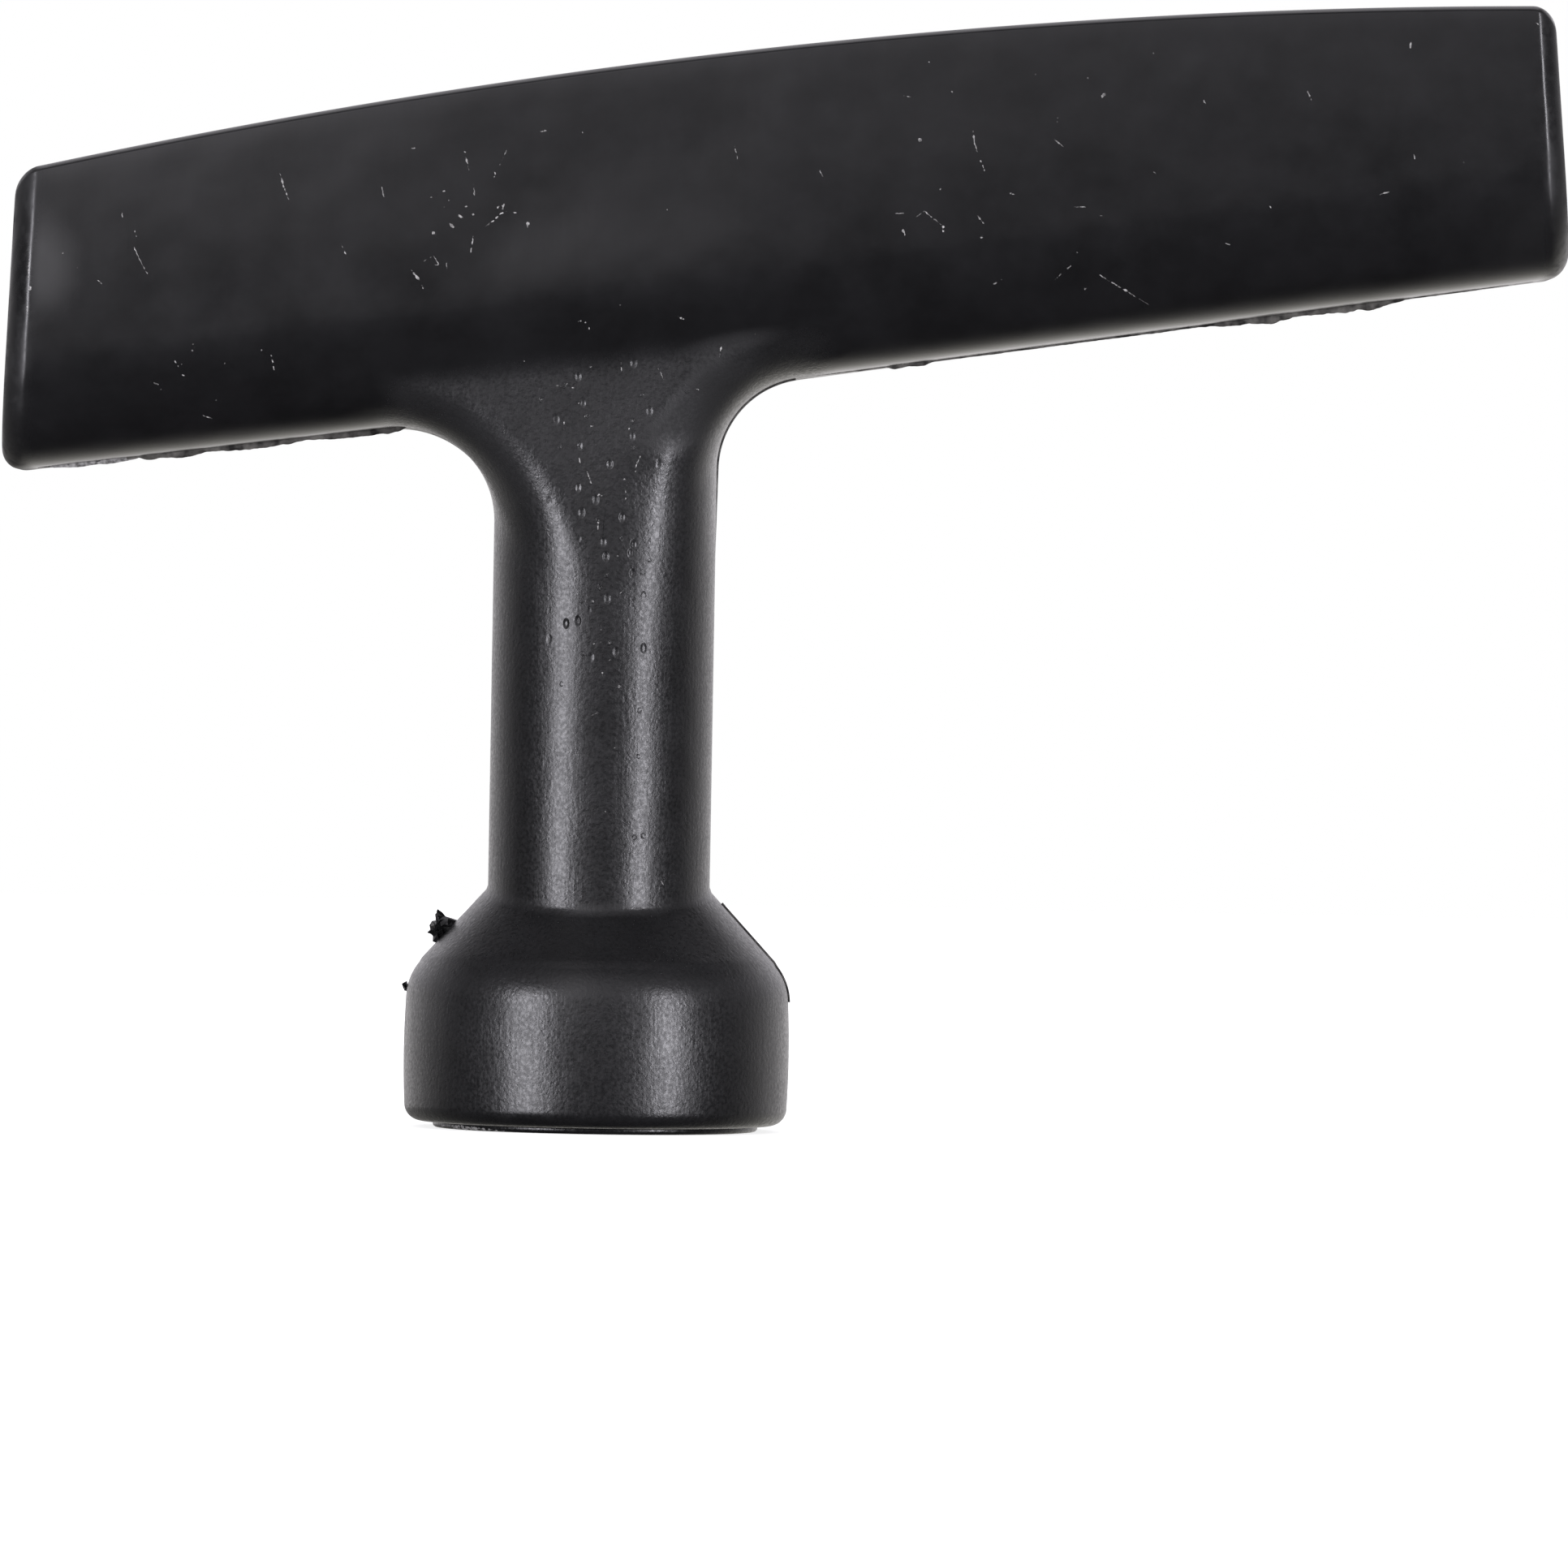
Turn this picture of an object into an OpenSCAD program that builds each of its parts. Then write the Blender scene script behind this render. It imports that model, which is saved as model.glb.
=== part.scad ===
// Starter handle: a one-piece T-grip for a recoil starter's rope.
// Millimetres, +Z up along the stem's axis. The origin is the centre of the bell's foot,
// +X points along the longer arm of the grip, and Y is across it. The mould parts at Y = 0.

/* [Grip] */
// Overall length of the grip, tip to tip
bar_len = 100; // [80:1:130]
// Distance from the short end of the grip to the stem's axis
short_arm = 38.65; // [30:0.05:50]
// Height of the grip at its short end
bar_h_short = 18.8; // [15:0.1:24]
// Height of the grip over the stem
bar_h_stem = 20.9; // [17:0.1:26]
// Height of the grip at its long end
bar_h_long = 16.7; // [14:0.1:24]
// Thickness of the grip over the middle of its length
bar_w_mid = 19.8; // [18:0.1:25]
// Thickness of the grip at its ends
bar_w_end = 18.2; // [17.8:0.1:24]
// Slope of the underside along the short arm, in degrees
slope_short = 7.45; // [0:0.05:12]
// Slope of the underside along the long arm, in degrees
slope_long = 8.45; // [0:0.05:14]
// Radius of the rounded edges under the fingers
under_r = 7; // [4:0.1:8]
// Radius round the edges of the end walls
end_r = 1.45; // [0.6:0.05:2]
// Lean of the short end wall, in degrees
lean_short = 2.4; // [0:0.1:6]
// Lean of the long end wall, in degrees
lean_long = 4.7; // [0:0.1:6]
// Mould draft of the end walls on each side of the parting plane, in degrees
end_draft = 3; // [0:0.1:5]

/* [Open side of the grip] */
// Thickness of the side and end walls
wall = 1.9; // [1.4:0.1:2.6]
// Thickness of the wall under the fingers
floor_t = 2.2; // [1.6:0.1:3.5]
// Chamfer round the outer edge of the rim
rim_chamfer = 0.8; // [0.3:0.05:1.2]
// Distance from the stem's axis to the middle of the cross rib
rib_x = 33.4; // [26:0.1:42]
// Thickness of the cross rib
rib_t = 2.8; // [1.5:0.1:4]
// Depth of the cross rib's edge below the rim
rib_recess = 0.8; // [0.2:0.1:4]

/* [Knot pocket] */
// Length of the oval pocket that takes the rope's knot
knot_l = 19; // [14:0.1:21]
// Width of the oval pocket
knot_w = 11.5; // [8:0.1:12]
// Depth of the oval pocket below the boss's face
knot_depth = 15; // [8:0.5:16]
// Diameter of the funnel's mouth in the pocket's floor
funnel_d = 10; // [7:0.1:11]
// Height of the funnel from the pocket down to the rope bore
funnel_h = 4; // [2:0.5:7]
// Wall round the ends of the oval pocket
boss_wall = 2.65; // [1.5:0.05:3.5]
// Length of the boss's square part
boss_l = 21.1; // [16:0.1:23]
// Width of the boss's square part
boss_w = 13.3; // [12.9:0.1:14]
// Corner radius of the boss's square part
boss_r = 1.6; // [0.5:0.1:3]
// Depth of the boss's face below the rim, at the stem's axis
boss_recess = 0.9; // [0.3:0.1:4]
// Slope of the boss's face, in degrees
boss_slope = 11; // [0:0.5:14]

/* [Stem] */
// Length of the stem between the bell's neck and the grip's underside
stem_len = 31.1; // [20:0.1:45]
// Width of the stem, seen square on to the handle's side
stem_w = 14.15; // [11:0.05:16]
// Depth of the stem, across the handle
stem_d = 16.8; // [16:0.1:17.4]
// Radius of the fillet that blends the stem into the grip, at the parting plane
root_r = 6; // [3:0.1:8]
// Radius that the fillet grows to at the front and the back of the stem
root_face_r = 12.5; // [6:0.1:15]
// Diameter of the rope's bore
rope_d = 6; // [4:0.1:8]

/* [Bell] */
// Height of the bell from its foot to the neck
bell_h = 15.4; // [12:0.1:20]
// Diameter of the bell
bell_d = 24.7; // [22:0.1:30]
// Slope of the bell's cone, in degrees from the stem's axis
cone_angle = 42.5; // [35:0.5:50]
// Radius of the shoulder between the cone and the bell's side
shoulder_r = 3; // [1:0.1:4]
// Radius of the bell's lower edge
foot_r = 1.3; // [0.4:0.05:2]
// Diameter of the lip ring that the bell stands on
lip_d = 20.8; // [18.5:0.1:21.4]
// Height of the lip ring
lip_h = 0.4; // [0.3:0.05:1.5]
// Edge radius of the lip ring
lip_r = 0.25; // [0.1:0.05:0.3]
// Diameter of the socket in the bell that seats on the starter's rope guide
socket_d = 16; // [12:0.1:17]
// Depth of the socket
socket_depth = 7; // [3:0.5:9]

/* [Hidden] */

// How finely the lofted skins are divided
arm_steps = 7;
corner_steps = 8;
end_steps = 5;
stem_steps = 56;
root_steps = 12;
// Overlap that keeps a cut or a join from ending in a shared face
eps = 0.5;
// How far the root fillet is sunk into the grip, so that the two skins cross cleanly
sink = 0.03;

mid_x = bar_len/2 - short_arm;
long_arm = bar_len - short_arm;
under_stem = bell_h + stem_len;
bore_r = rope_d/2;

function mix(a, b, t) = a + (b - a)*t;

// The underside is two straight slopes that meet over the stem
function under_z(x) = under_stem + x*tan(x < 0 ? slope_short : slope_long);

// The rim is one shallow curve through its height at the short end, over the stem and at the long end
rim_a = [-short_arm, under_z(-short_arm) + bar_h_short];
rim_b = [0, under_stem + bar_h_stem];
rim_c = [long_arm, under_z(long_arm) + bar_h_long];
function parabola(p, q, r, x) =
    p[1]*(x - q[0])*(x - r[0])/((p[0] - q[0])*(p[0] - r[0]))
    + q[1]*(x - p[0])*(x - r[0])/((q[0] - p[0])*(q[0] - r[0]))
    + r[1]*(x - p[0])*(x - q[0])/((r[0] - p[0])*(r[0] - q[0]));
function rim_z(x) = parabola(rim_a, rim_b, rim_c, x);

// The sides bow out towards the middle of the grip's length
function half_w(x) = mix(bar_w_mid, bar_w_end, pow((x - mid_x)/(bar_len/2), 2))/2;

// Position along the grip, 0 at the short end and 1 at the long end
function along(x) = (x + short_arm)/bar_len;

// A section's point, moved along X by the end walls' lean and draft, which fade towards the middle
foot_short = under_z(-short_arm) + end_r;
foot_long = under_z(long_arm) + end_r;
function placed(x, y, z) =
    let (
        t = along(x),
        lean = mix(tan(lean_short), -tan(lean_long), t),
        draft = (1 - 2*t)*tan(end_draft)
    )
    [x + lean*(z - mix(foot_short, foot_long, t)) + draft*abs(y), y, z];

// Outline of the grip's section at x: a U with round lower edges and a chamfered top.
// side, under and top are how far it is drawn in from the skin on those sides. The list starts
// at the middle of the top, and the point half way round it is the middle of the underside.
function section(x, side, under, top, chamfer) =
    let (
        w = half_w(x) - side,
        r = under_r - side,
        low = under_z(x) + under,
        high = rim_z(x) - top,
        rim = chamfer > 0 ? [[w - chamfer, high], [w, high - chamfer]] : [[w, high]],
        edge = [for (i = [0:corner_steps]) let (a = -90*i/corner_steps)
            [w - r + r*cos(a), low + r + r*sin(a)]],
        half = concat(rim, edge),
        m = len(half)
    )
    [for (p = concat([[0, high]], half, [[0, low]], [for (i = [m - 1:-1:0]) [-half[i][0], half[i][1]]]))
        placed(x, p[0], p[1])];

// Closed skin over a list of rings that all have as many points. Where ridged is true, each end
// is two flat faces that meet from the ring's first point to the one half way round.
module skin(rings, ridged = false) {
    n = len(rings[0]);
    m = len(rings);
    sides = [for (k = [0:m - 2]) for (i = [0:n - 1]) let (j = (i + 1) % n)
        each [[k*n + i, k*n + j, (k + 1)*n + j], [k*n + i, (k + 1)*n + j, (k + 1)*n + i]]];
    caps = ridged ? [[for (i = [0:n/2]) i], [for (i = [n/2:n]) i % n]] : [[for (i = [0:n - 1]) i]];
    first = [for (c = caps) [for (i = [len(c) - 1:-1:0]) c[i]]];
    last = [for (c = caps) [for (i = c) (m - 1)*n + i]];
    polyhedron([for (r = rings) each r], concat(first, sides, last), convexity = 6);
}

// Places along one stretch of the grip, from x0 to x1, with one at the stem's axis if it is between
function stations(x0, x1) = concat(
    [for (i = [0:arm_steps]) mix(x0, min(0, x1), i/arm_steps)],
    [for (i = [1:arm_steps]) mix(max(0, x0), x1, i/arm_steps)]);

// The grip as a solid bar, with rounded end walls
module grip_body() {
    x0 = -short_arm;
    x1 = long_arm;
    turn = [for (i = [0:end_steps]) 90*i/end_steps];
    short_end = [for (a = turn) let (e = end_r*(1 - sin(a)))
        section(x0 + end_r*(1 - cos(a)), e, e, e, rim_chamfer)];
    long_end = [for (a = turn) let (e = end_r*(1 - sin(90 - a)))
        section(x1 - end_r*(1 - cos(90 - a)), e, e, e, rim_chamfer)];
    arms = [for (x = stations(x0 + end_r, x1 - end_r)) section(x, 0, 0, 0, rim_chamfer)];
    inner = [for (i = [1:len(arms) - 2]) arms[i]];
    skin(concat(short_end, inner, long_end), ridged = true);
}

// The hollow that opens on the side away from the stem
module grip_hollow() {
    skin([for (x = stations(-short_arm + wall, long_arm - wall))
        section(x, wall, floor_t, -eps, 0)], ridged = true);
}

// The rib that crosses the hollow of the long arm
module cross_rib() {
    x0 = rib_x - rib_t/2;
    x1 = rib_x + rib_t/2;
    rotate([90, 0, 0])
        linear_extrude(bar_w_mid, center = true)
            polygon([[x0, under_z(x0)], [x1, under_z(x1)],
                [x1, rim_z(x1) - rib_recess], [x0, rim_z(x0) - rib_recess]]);
}

module oval(l, w) {
    scale([l/2, w/2]) circle(1, $fn = 96);
}

// Plan of the boss: a square with rounded corners, and a wall round the ends of the oval pocket
module boss_plan() {
    x = boss_l/2 - boss_r;
    y = boss_w/2 - boss_r;
    for (sx = [-1, 1], sy = [-1, 1])
        translate([sx*x, sy*y]) circle(boss_r, $fn = 48);
    square([boss_l, 2*y], center = true);
    square([2*x, boss_w], center = true);
    intersection() {
        oval(knot_l + 2*boss_wall, knot_w + 2*boss_wall);
        square([knot_l + 2*boss_wall, boss_w], center = true);
    }
}

boss_face = rim_z(0) - boss_recess;
knot_floor = boss_face - knot_depth;

// The boss in the hollow over the stem, cut off by its sloping face
module boss() {
    intersection() {
        translate([0, 0, under_stem + floor_t])
            linear_extrude(bar_h_stem) boss_plan();
        translate([0, 0, boss_face])
            rotate([0, -boss_slope, 0])
                translate([-bar_len/2, -bar_w_mid, -2*bar_h_stem])
                    cube([bar_len, 2*bar_w_mid, 2*bar_h_stem]);
    }
}

// The oval pocket for the knot
module knot_pocket() {
    translate([0, 0, knot_floor])
        linear_extrude(knot_depth + bar_h_stem) oval(knot_l, knot_w);
}

// The rope's way, turned about the stem's axis: the bell's socket, the bore and the funnel
module rope_way() {
    mouth_r = min(funnel_d, knot_w - 1)/2;
    flare = (mouth_r - bore_r)/funnel_h;
    rotate_extrude($fn = 96)
        polygon([[0, -eps], [socket_d/2, -eps], [socket_d/2, socket_depth], [bore_r, socket_depth],
            [bore_r, knot_floor - funnel_h], [mouth_r + flare*eps, knot_floor + eps],
            [0, knot_floor + eps]]);
}

stem_r = stem_w/2;
stem_flat = (stem_d - stem_w)/2;

// The stem: two half rounds with a short flat between them, from inside the bell's cone
// to inside the grip
module stem() {
    neck_in = bell_h - stem_r/2;
    translate([0, 0, neck_in])
        linear_extrude(under_stem + under_r/2 - neck_in) {
            for (s = [-1, 1])
                translate([0, s*stem_flat]) circle(stem_r, $fn = 96);
            square([stem_w, 2*stem_flat], center = true);
        }
}

// Points round the stem's plan, a hair inside its skin, and their outward directions
function stem_way(i) = let (a = 360*(i + 0.5)/stem_steps) [cos(a), sin(a)];
function stem_point(i) = let (d = stem_way(i))
    [(stem_r - sink)*d[0], (stem_r - sink)*d[1] + (d[1] > 0 ? stem_flat : -stem_flat)];

// Height of the grip's underside over a place in plan
function under_skin(x, y) =
    let (out = max(0, abs(y) - (half_w(x) - under_r)))
    under_z(x) + under_r - sqrt(max(0, under_r*under_r - out*out));

// The root fillet flares from the stem along the grip. It is a circle that rolls in the corner
// under the grip, in the upright lengthwise plane of each point of the stem, and grows towards
// the front and the back, where the stem faces across the handle.
function flare_way(d) = [d[0] < 0 ? -1 : 1, 0];
function flare_r(d) = mix(root_r, root_face_r, 1 - abs(d[0]));

// Height of the underside, a hair inside it, at distance s from p in direction d, and its slope there
function reach(p, d, s) = under_skin(p[0] + d[0]*s, p[1] + d[1]*s) + sink;
function slope_at(p, d, s) = atan((reach(p, d, s + eps) - reach(p, d, s - eps))/(2*eps));

// One point's share of the fillet, from the stem up to where it touches the underside
function root_rib(p, d, r) =
    let (
        slope = slope_at(p, d, r),
        centre = reach(p, d, r*(1 - sin(slope))) - r*cos(slope)
    )
    [for (k = [0:root_steps]) let (a = (90 - slope)*k/root_steps, out = r*(1 - cos(a)))
        [p[0] + d[0]*out, p[1] + d[1]*out, centre + r*sin(a)]];

// The fillet, closed by a flat foot inside the stem and a flat lid inside the grip
module root() {
    ways = [for (i = [0:stem_steps - 1]) i];
    ribs = [for (i = ways) let (d = stem_way(i))
        root_rib(stem_point(i), flare_way(d), flare_r(d))];
    low = min([for (r = ribs) r[0][2]]) - root_r/4;
    high = max([for (r = ribs) r[root_steps][2]]) + root_r/6;
    rings = [for (k = [root_steps:-1:0]) [for (i = ways) ribs[i][k]]];
    foot = [for (i = ways) [ribs[i][0][0], ribs[i][0][1], low]];
    lid = [for (i = ways) let (p = ribs[i][root_steps]) [p[0]*0.9, p[1]*0.9, high]];
    skin(concat([lid], rings, [foot]));
}

// The bell: lip ring, rounded foot, straight side, shoulder and cone, turned about the stem's axis
module bell() {
    r = bell_d/2;
    lip = lip_d/2;
    foot_z = lip_h + foot_r;
    edge_z = bell_h - (r - stem_r)/tan(cone_angle);
    shoulder_x = r - shoulder_r;
    shoulder_z = edge_z - shoulder_r*tan(cone_angle/2);
    top_r = stem_r/2;
    top_z = bell_h + (stem_r - top_r)/tan(cone_angle);
    rotate_extrude($fn = 96) {
        polygon([[0, 0], [lip - lip_r, 0], [lip, lip_r], [lip, lip_h], [r - foot_r, lip_h],
            [r, foot_z], [r, shoulder_z],
            [shoulder_x + shoulder_r*cos(cone_angle), shoulder_z + shoulder_r*sin(cone_angle)],
            [top_r, top_z], [0, top_z]]);
        translate([lip - lip_r, lip_r]) circle(lip_r, $fn = 24);
        translate([r - foot_r, foot_z]) circle(foot_r, $fn = 40);
        translate([shoulder_x, shoulder_z]) circle(shoulder_r, $fn = 64);
    }
}

// The whole moulding
module handle() {
    color([0.09, 0.09, 0.095])
        difference() {
            union() {
                grip_body();
                root();
                stem();
                bell();
            }
            difference() {
                grip_hollow();
                cross_rib();
                boss();
            }
            knot_pocket();
            rope_way();
        }
}

handle();
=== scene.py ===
# %% [markdown]
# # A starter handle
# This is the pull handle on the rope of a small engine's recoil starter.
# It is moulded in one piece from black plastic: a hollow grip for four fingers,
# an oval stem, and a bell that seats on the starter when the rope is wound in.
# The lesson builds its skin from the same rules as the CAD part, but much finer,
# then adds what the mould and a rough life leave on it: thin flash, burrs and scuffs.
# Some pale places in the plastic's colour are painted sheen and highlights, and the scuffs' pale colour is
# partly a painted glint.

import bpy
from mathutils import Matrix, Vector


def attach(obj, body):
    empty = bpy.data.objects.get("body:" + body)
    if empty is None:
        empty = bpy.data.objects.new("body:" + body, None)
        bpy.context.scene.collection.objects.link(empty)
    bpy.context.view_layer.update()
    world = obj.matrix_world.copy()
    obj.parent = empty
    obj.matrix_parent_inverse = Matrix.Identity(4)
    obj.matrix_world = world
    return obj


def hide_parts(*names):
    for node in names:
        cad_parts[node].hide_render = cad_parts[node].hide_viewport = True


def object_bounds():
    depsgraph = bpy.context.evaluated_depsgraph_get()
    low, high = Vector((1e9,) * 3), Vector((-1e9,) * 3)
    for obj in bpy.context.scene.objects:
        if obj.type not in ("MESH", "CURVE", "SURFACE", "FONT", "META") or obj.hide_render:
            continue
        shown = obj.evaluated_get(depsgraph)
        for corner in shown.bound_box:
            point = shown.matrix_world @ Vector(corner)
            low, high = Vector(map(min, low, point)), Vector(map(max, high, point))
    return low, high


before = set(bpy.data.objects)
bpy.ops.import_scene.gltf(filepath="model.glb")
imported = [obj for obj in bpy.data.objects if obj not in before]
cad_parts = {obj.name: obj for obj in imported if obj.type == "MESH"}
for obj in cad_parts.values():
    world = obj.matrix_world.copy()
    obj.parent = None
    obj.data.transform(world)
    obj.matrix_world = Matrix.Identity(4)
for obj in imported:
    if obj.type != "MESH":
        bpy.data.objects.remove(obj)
cad_low, cad_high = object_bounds()
print("CAD box in mm:", [round(v * 1000, 2) for v in (*cad_low, *cad_high)])

# %% Tools for the lesson
import math
import random

import bmesh
import bpy
import numpy as np
from mathutils import Matrix, Vector
from mathutils.bvhtree import BVHTree
from mathutils.geometry import delaunay_2d_cdt

MM = 0.001


def put_in_scene(name, data):
    thing = bpy.data.objects.new(name, data)
    bpy.context.scene.collection.objects.link(thing)
    return thing


print("Blender", bpy.app.version_string)

# %% [markdown]
# ## The sizes
# Blender works in metres here, but a moulding is easier to think about in millimetres,
# so every size below is in millimetres and degrees and is turned to metres at the end.
# The stem stands on the Z axis, the longer arm points along X, and the mould parts at Y = 0.

# %% Sizes of the grip, the stem and the bell
bar_len, short_arm = 100.0, 38.65
bar_h_short, bar_h_stem, bar_h_long = 18.8, 20.9, 16.7
bar_w_mid, bar_w_end = 19.8, 18.2
slope_short, slope_long = 7.45, 8.45
under_r = 7.0
lean_short, lean_long, end_draft = 2.4, 4.7, 3.0
wall, floor_t = 1.9, 2.2
rib_x, rib_t, rib_recess = 33.4, 2.8, 0.8
knot_l, knot_w, knot_depth = 19.0, 11.5, 15.0
funnel_d, funnel_h = 10.0, 4.0
boss_wall, boss_l, boss_w, boss_r = 2.65, 21.1, 13.3, 1.6
boss_recess, boss_slope = 0.9, 11.0
stem_len, stem_w, stem_d, rope_d = 31.1, 14.15, 16.8, 6.0
root_r, root_face_short, root_face_long = 6.0, 14.0, 13.4
bell_h, bell_d, cone_angle = 15.4, 24.67, 42.5
shoulder_r, foot_r, lip_d, lip_h, lip_r = 3.7, 1.1, 20.8, 0.4, 0.25
socket_d, socket_depth = 16.0, 7.0

long_arm = bar_len - short_arm
mid_x = bar_len / 2 - short_arm
under_stem = bell_h + stem_len
stem_r, stem_flat = stem_w / 2, (stem_d - stem_w) / 2
print("Underside over the stem at", round(under_stem, 2), "mm")

# %% [markdown]
# ## Rules for the grip's skin
# The grip is a bar with a rule for each of its faces: two straight slopes under the fingers,
# a shallow arch for the rim, and sides that bow out a little in the middle.
# Working from rules instead of pushing vertices keeps the skin fair, which matters on black
# plastic, because its reflections show every dent.

# %% Heights and widths along the grip
def tan(degrees):
    return math.tan(math.radians(degrees))


def under_z(x):
    return under_stem + x * np.where(np.asarray(x) < 0, tan(slope_short), tan(slope_long))


rim_knots = [
    (-short_arm, float(under_z(-short_arm)) + bar_h_short),
    (0.0, under_stem + bar_h_stem),
    (long_arm, float(under_z(long_arm)) + bar_h_long),
]
rim_curve = np.polyfit([k[0] for k in rim_knots], [k[1] for k in rim_knots], 2)


def rim_z(x):
    return np.polyval(rim_curve, x)


def half_w(x):
    return (bar_w_mid + (bar_w_end - bar_w_mid) * ((x - mid_x) / (bar_len / 2)) ** 2) / 2


print("Rim from", round(float(rim_z(-short_arm)), 2), "to", round(float(rim_z(long_arm)), 2), "mm")

# %% The lean of the end walls
end_r, edge_short, edge_long, edge_bulge = 1.45, 1.35, 1.12, 1.4
foot_short = float(under_z(-short_arm)) + edge_short
foot_long = float(under_z(long_arm)) + edge_long


def shift(x, y, z):
    """How far the end walls' lean and draft move a point along X."""
    t = (x + short_arm) / bar_len
    lean = tan(lean_short) * (1 - t) - tan(lean_long) * t
    foot = foot_short * (1 - t) + foot_long * t
    return lean * (z - foot) + (1 - 2 * t) * tan(end_draft) * np.abs(y)


print("The end walls' edges are rounded by", edge_short, "and", edge_long, "mm")

# %% [markdown]
# ## A net for the shell
# The whole handle is one closed surface: down the outside, round the bell, up through the
# rope's bore, out of the knot pocket and over the rim back to the outside.
# It is knitted here from rows of points. A helper keeps the points and the faces,
# and joins two rows with a band of quads. On the stem and the bell each row is a ring,
# so a second helper adds the next ring and joins it to the last one.

# %% The net
class Net:
    def __init__(self):
        self.points, self.faces = [], []

    def add(self, pts):
        start = len(self.points)
        self.points += [tuple(map(float, p)) for p in pts]
        return list(range(start, len(self.points)))

    def band(self, a, b, closed=True):
        n = len(a)
        for i in range(n if closed else n - 1):
            j = (i + 1) % n
            corners = list(dict.fromkeys((a[i], a[j], b[j], b[i])))
            if len(corners) > 2:
                self.faces.append(tuple(corners))

    def next_ring(self, ring, x, y, z):
        row = self.add(zip(x, y, np.broadcast_to(z, np.shape(x))))
        self.band(ring, row)
        return row


net = Net()
print("The net is empty")

# %% [markdown]
# ## Rows across the grip
# Each row is one section of the grip. From the rim's inner edge it runs over a round edge that is
# slow on top and tight at the side, down the side, round the 7 mm edge under the fingers and up
# the other side. At the ends the sections shrink: in height along a quarter circle, which rounds
# the outline, and in width along a flatter curve, which shows a thin line of light.

# %% The rim's edge, in two arcs that meet at 45 degrees
tight, slow, turn_at = 0.18, 1.0, math.radians(45)
rim_in = tight * (1 - math.cos(turn_at)) + slow * math.cos(turn_at)
rim_down = tight * math.sin(turn_at) + slow * (1 - math.sin(turn_at))
rim_profile = [(wall, 0.0)]
rim_profile += [(rim_in - slow * math.cos(a), slow * (1 - math.sin(a)))
                for a in np.radians([90, 84, 78, 71, 64, 57, 51, 45])]
rim_profile += [(tight * (1 - math.cos(a)), rim_down - tight * math.sin(a))
                for a in np.radians([30, 15, 0])]
rim_profile[1] = (rim_in, 0.0)
print("Rim profile has", len(rim_profile), "points")

# %% How far the sides crown
crown, crown_at = 0.0030, 5.5
crown_turn = math.atan(2 * crown * crown_at)


def crowned(w, corner_z, z):
    """Half the width at height z: a shallow curve, fullest 5.5 mm above the round edge."""
    return w + crown * (crown_at**2 - (z - corner_z - crown_at) ** 2)


print("The sides crown by", round(crown * crown_at**2, 2), "mm")

# %% One section, outside or inside
side_steps, corner_steps, flat_steps = 22, 20, 6


def half_section(u, inset, inner, narrow=0.0):
    """Points (y, z) from the rim to the middle of the underside, on the +Y side."""
    w = half_w(u) - (wall if inner else narrow)
    r = under_r - (wall if inner else inset)
    low = under_z(u) + (floor_t if inner else inset)
    high = rim_z(u) - (0 if inner else inset)
    turn = 0 if inner else crown_turn
    start_y, start_z = w - r + r * math.cos(turn), low + r - r * math.sin(turn)
    if inner:
        pts, side = [(w, high)], [w] * side_steps
    else:
        edge = crowned(start_y, start_z, high)
        pts = [(edge - a, high - b) for a, b in rim_profile]
        pts[0] = (half_w(u) - max(wall, narrow), high)
        tall = pts[-1][1] - start_z
        side = [crowned(start_y, start_z, start_z + tall * (1 - k / side_steps))
                for k in range(side_steps)]
    top = pts[-1][1]
    pts += [(side[k], top + (start_z - top) * k / side_steps) for k in range(1, side_steps)]
    for k in range(corner_steps + 1):
        a = turn + (math.pi / 2 - turn) * k / corner_steps
        pts.append((w - r + r * math.cos(a), low + r - r * math.sin(a)))
    pts += [((w - r) * (1 - k / flat_steps), low) for k in range(1, flat_steps + 1)]
    return pts


def place(u, pts):
    return [(u + shift(u, y, z), y, z) for y, z in pts]


def whole_section(u, inset=0.0, inner=False, narrow=0.0):
    half = half_section(u, inset, inner, narrow)
    return place(u, half + [(-y, z) for y, z in half[-2::-1]])


print("A section has", 2 * len(half_section(0.0, 0.0, False)) - 1, "points")

# %% Stations along the grip
hollow_a, hollow_b = -short_arm + wall, long_arm - wall
region_a, region_b = -18.0, 17.0        # the stem's root joins the skin between these two


def stretch(a, b, step=0.6):
    n = max(1, round((b - a) / step))
    return [a + (b - a) * k / n for k in range(n)]


first_u, last_u = -short_arm + end_r, long_arm - end_r
stations = [first_u]
for a, b in ((first_u, hollow_a), (hollow_a, region_a), (region_a, 0.0),
             (0.0, region_b), (region_b, hollow_b), (hollow_b, last_u)):
    stations += stretch(a, b)[1 if a == stations[-1] else 0:]
stations.append(last_u)
print(len(stations), "stations between the rounded ends")


# %% The rows, with the rounded ends
def end_row(t, edge):
    """Height and width lost at a distance t, from 0 at the end wall to 1, inside its rounding."""
    lost = end_r * (1 - math.sqrt(max(0.0, 1 - (1 - t) ** 2)))
    across = max(0.0, 1 - t * end_r / edge)
    return lost, edge * (1 - max(0.0, 1 - across ** edge_bulge) ** (1 / edge_bulge))


turns = list(1 - np.cos(np.radians(np.linspace(0, 90, 22)[:-1])))
rows = [(-short_arm + end_r * t, *end_row(t, edge_short)) for t in turns]
rows += [(u, 0.0, 0.0) for u in stations]
rows += [(long_arm - end_r * t, *end_row(t, edge_long)) for t in turns[::-1]]
print(len(rows), "rows along the grip")

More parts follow.
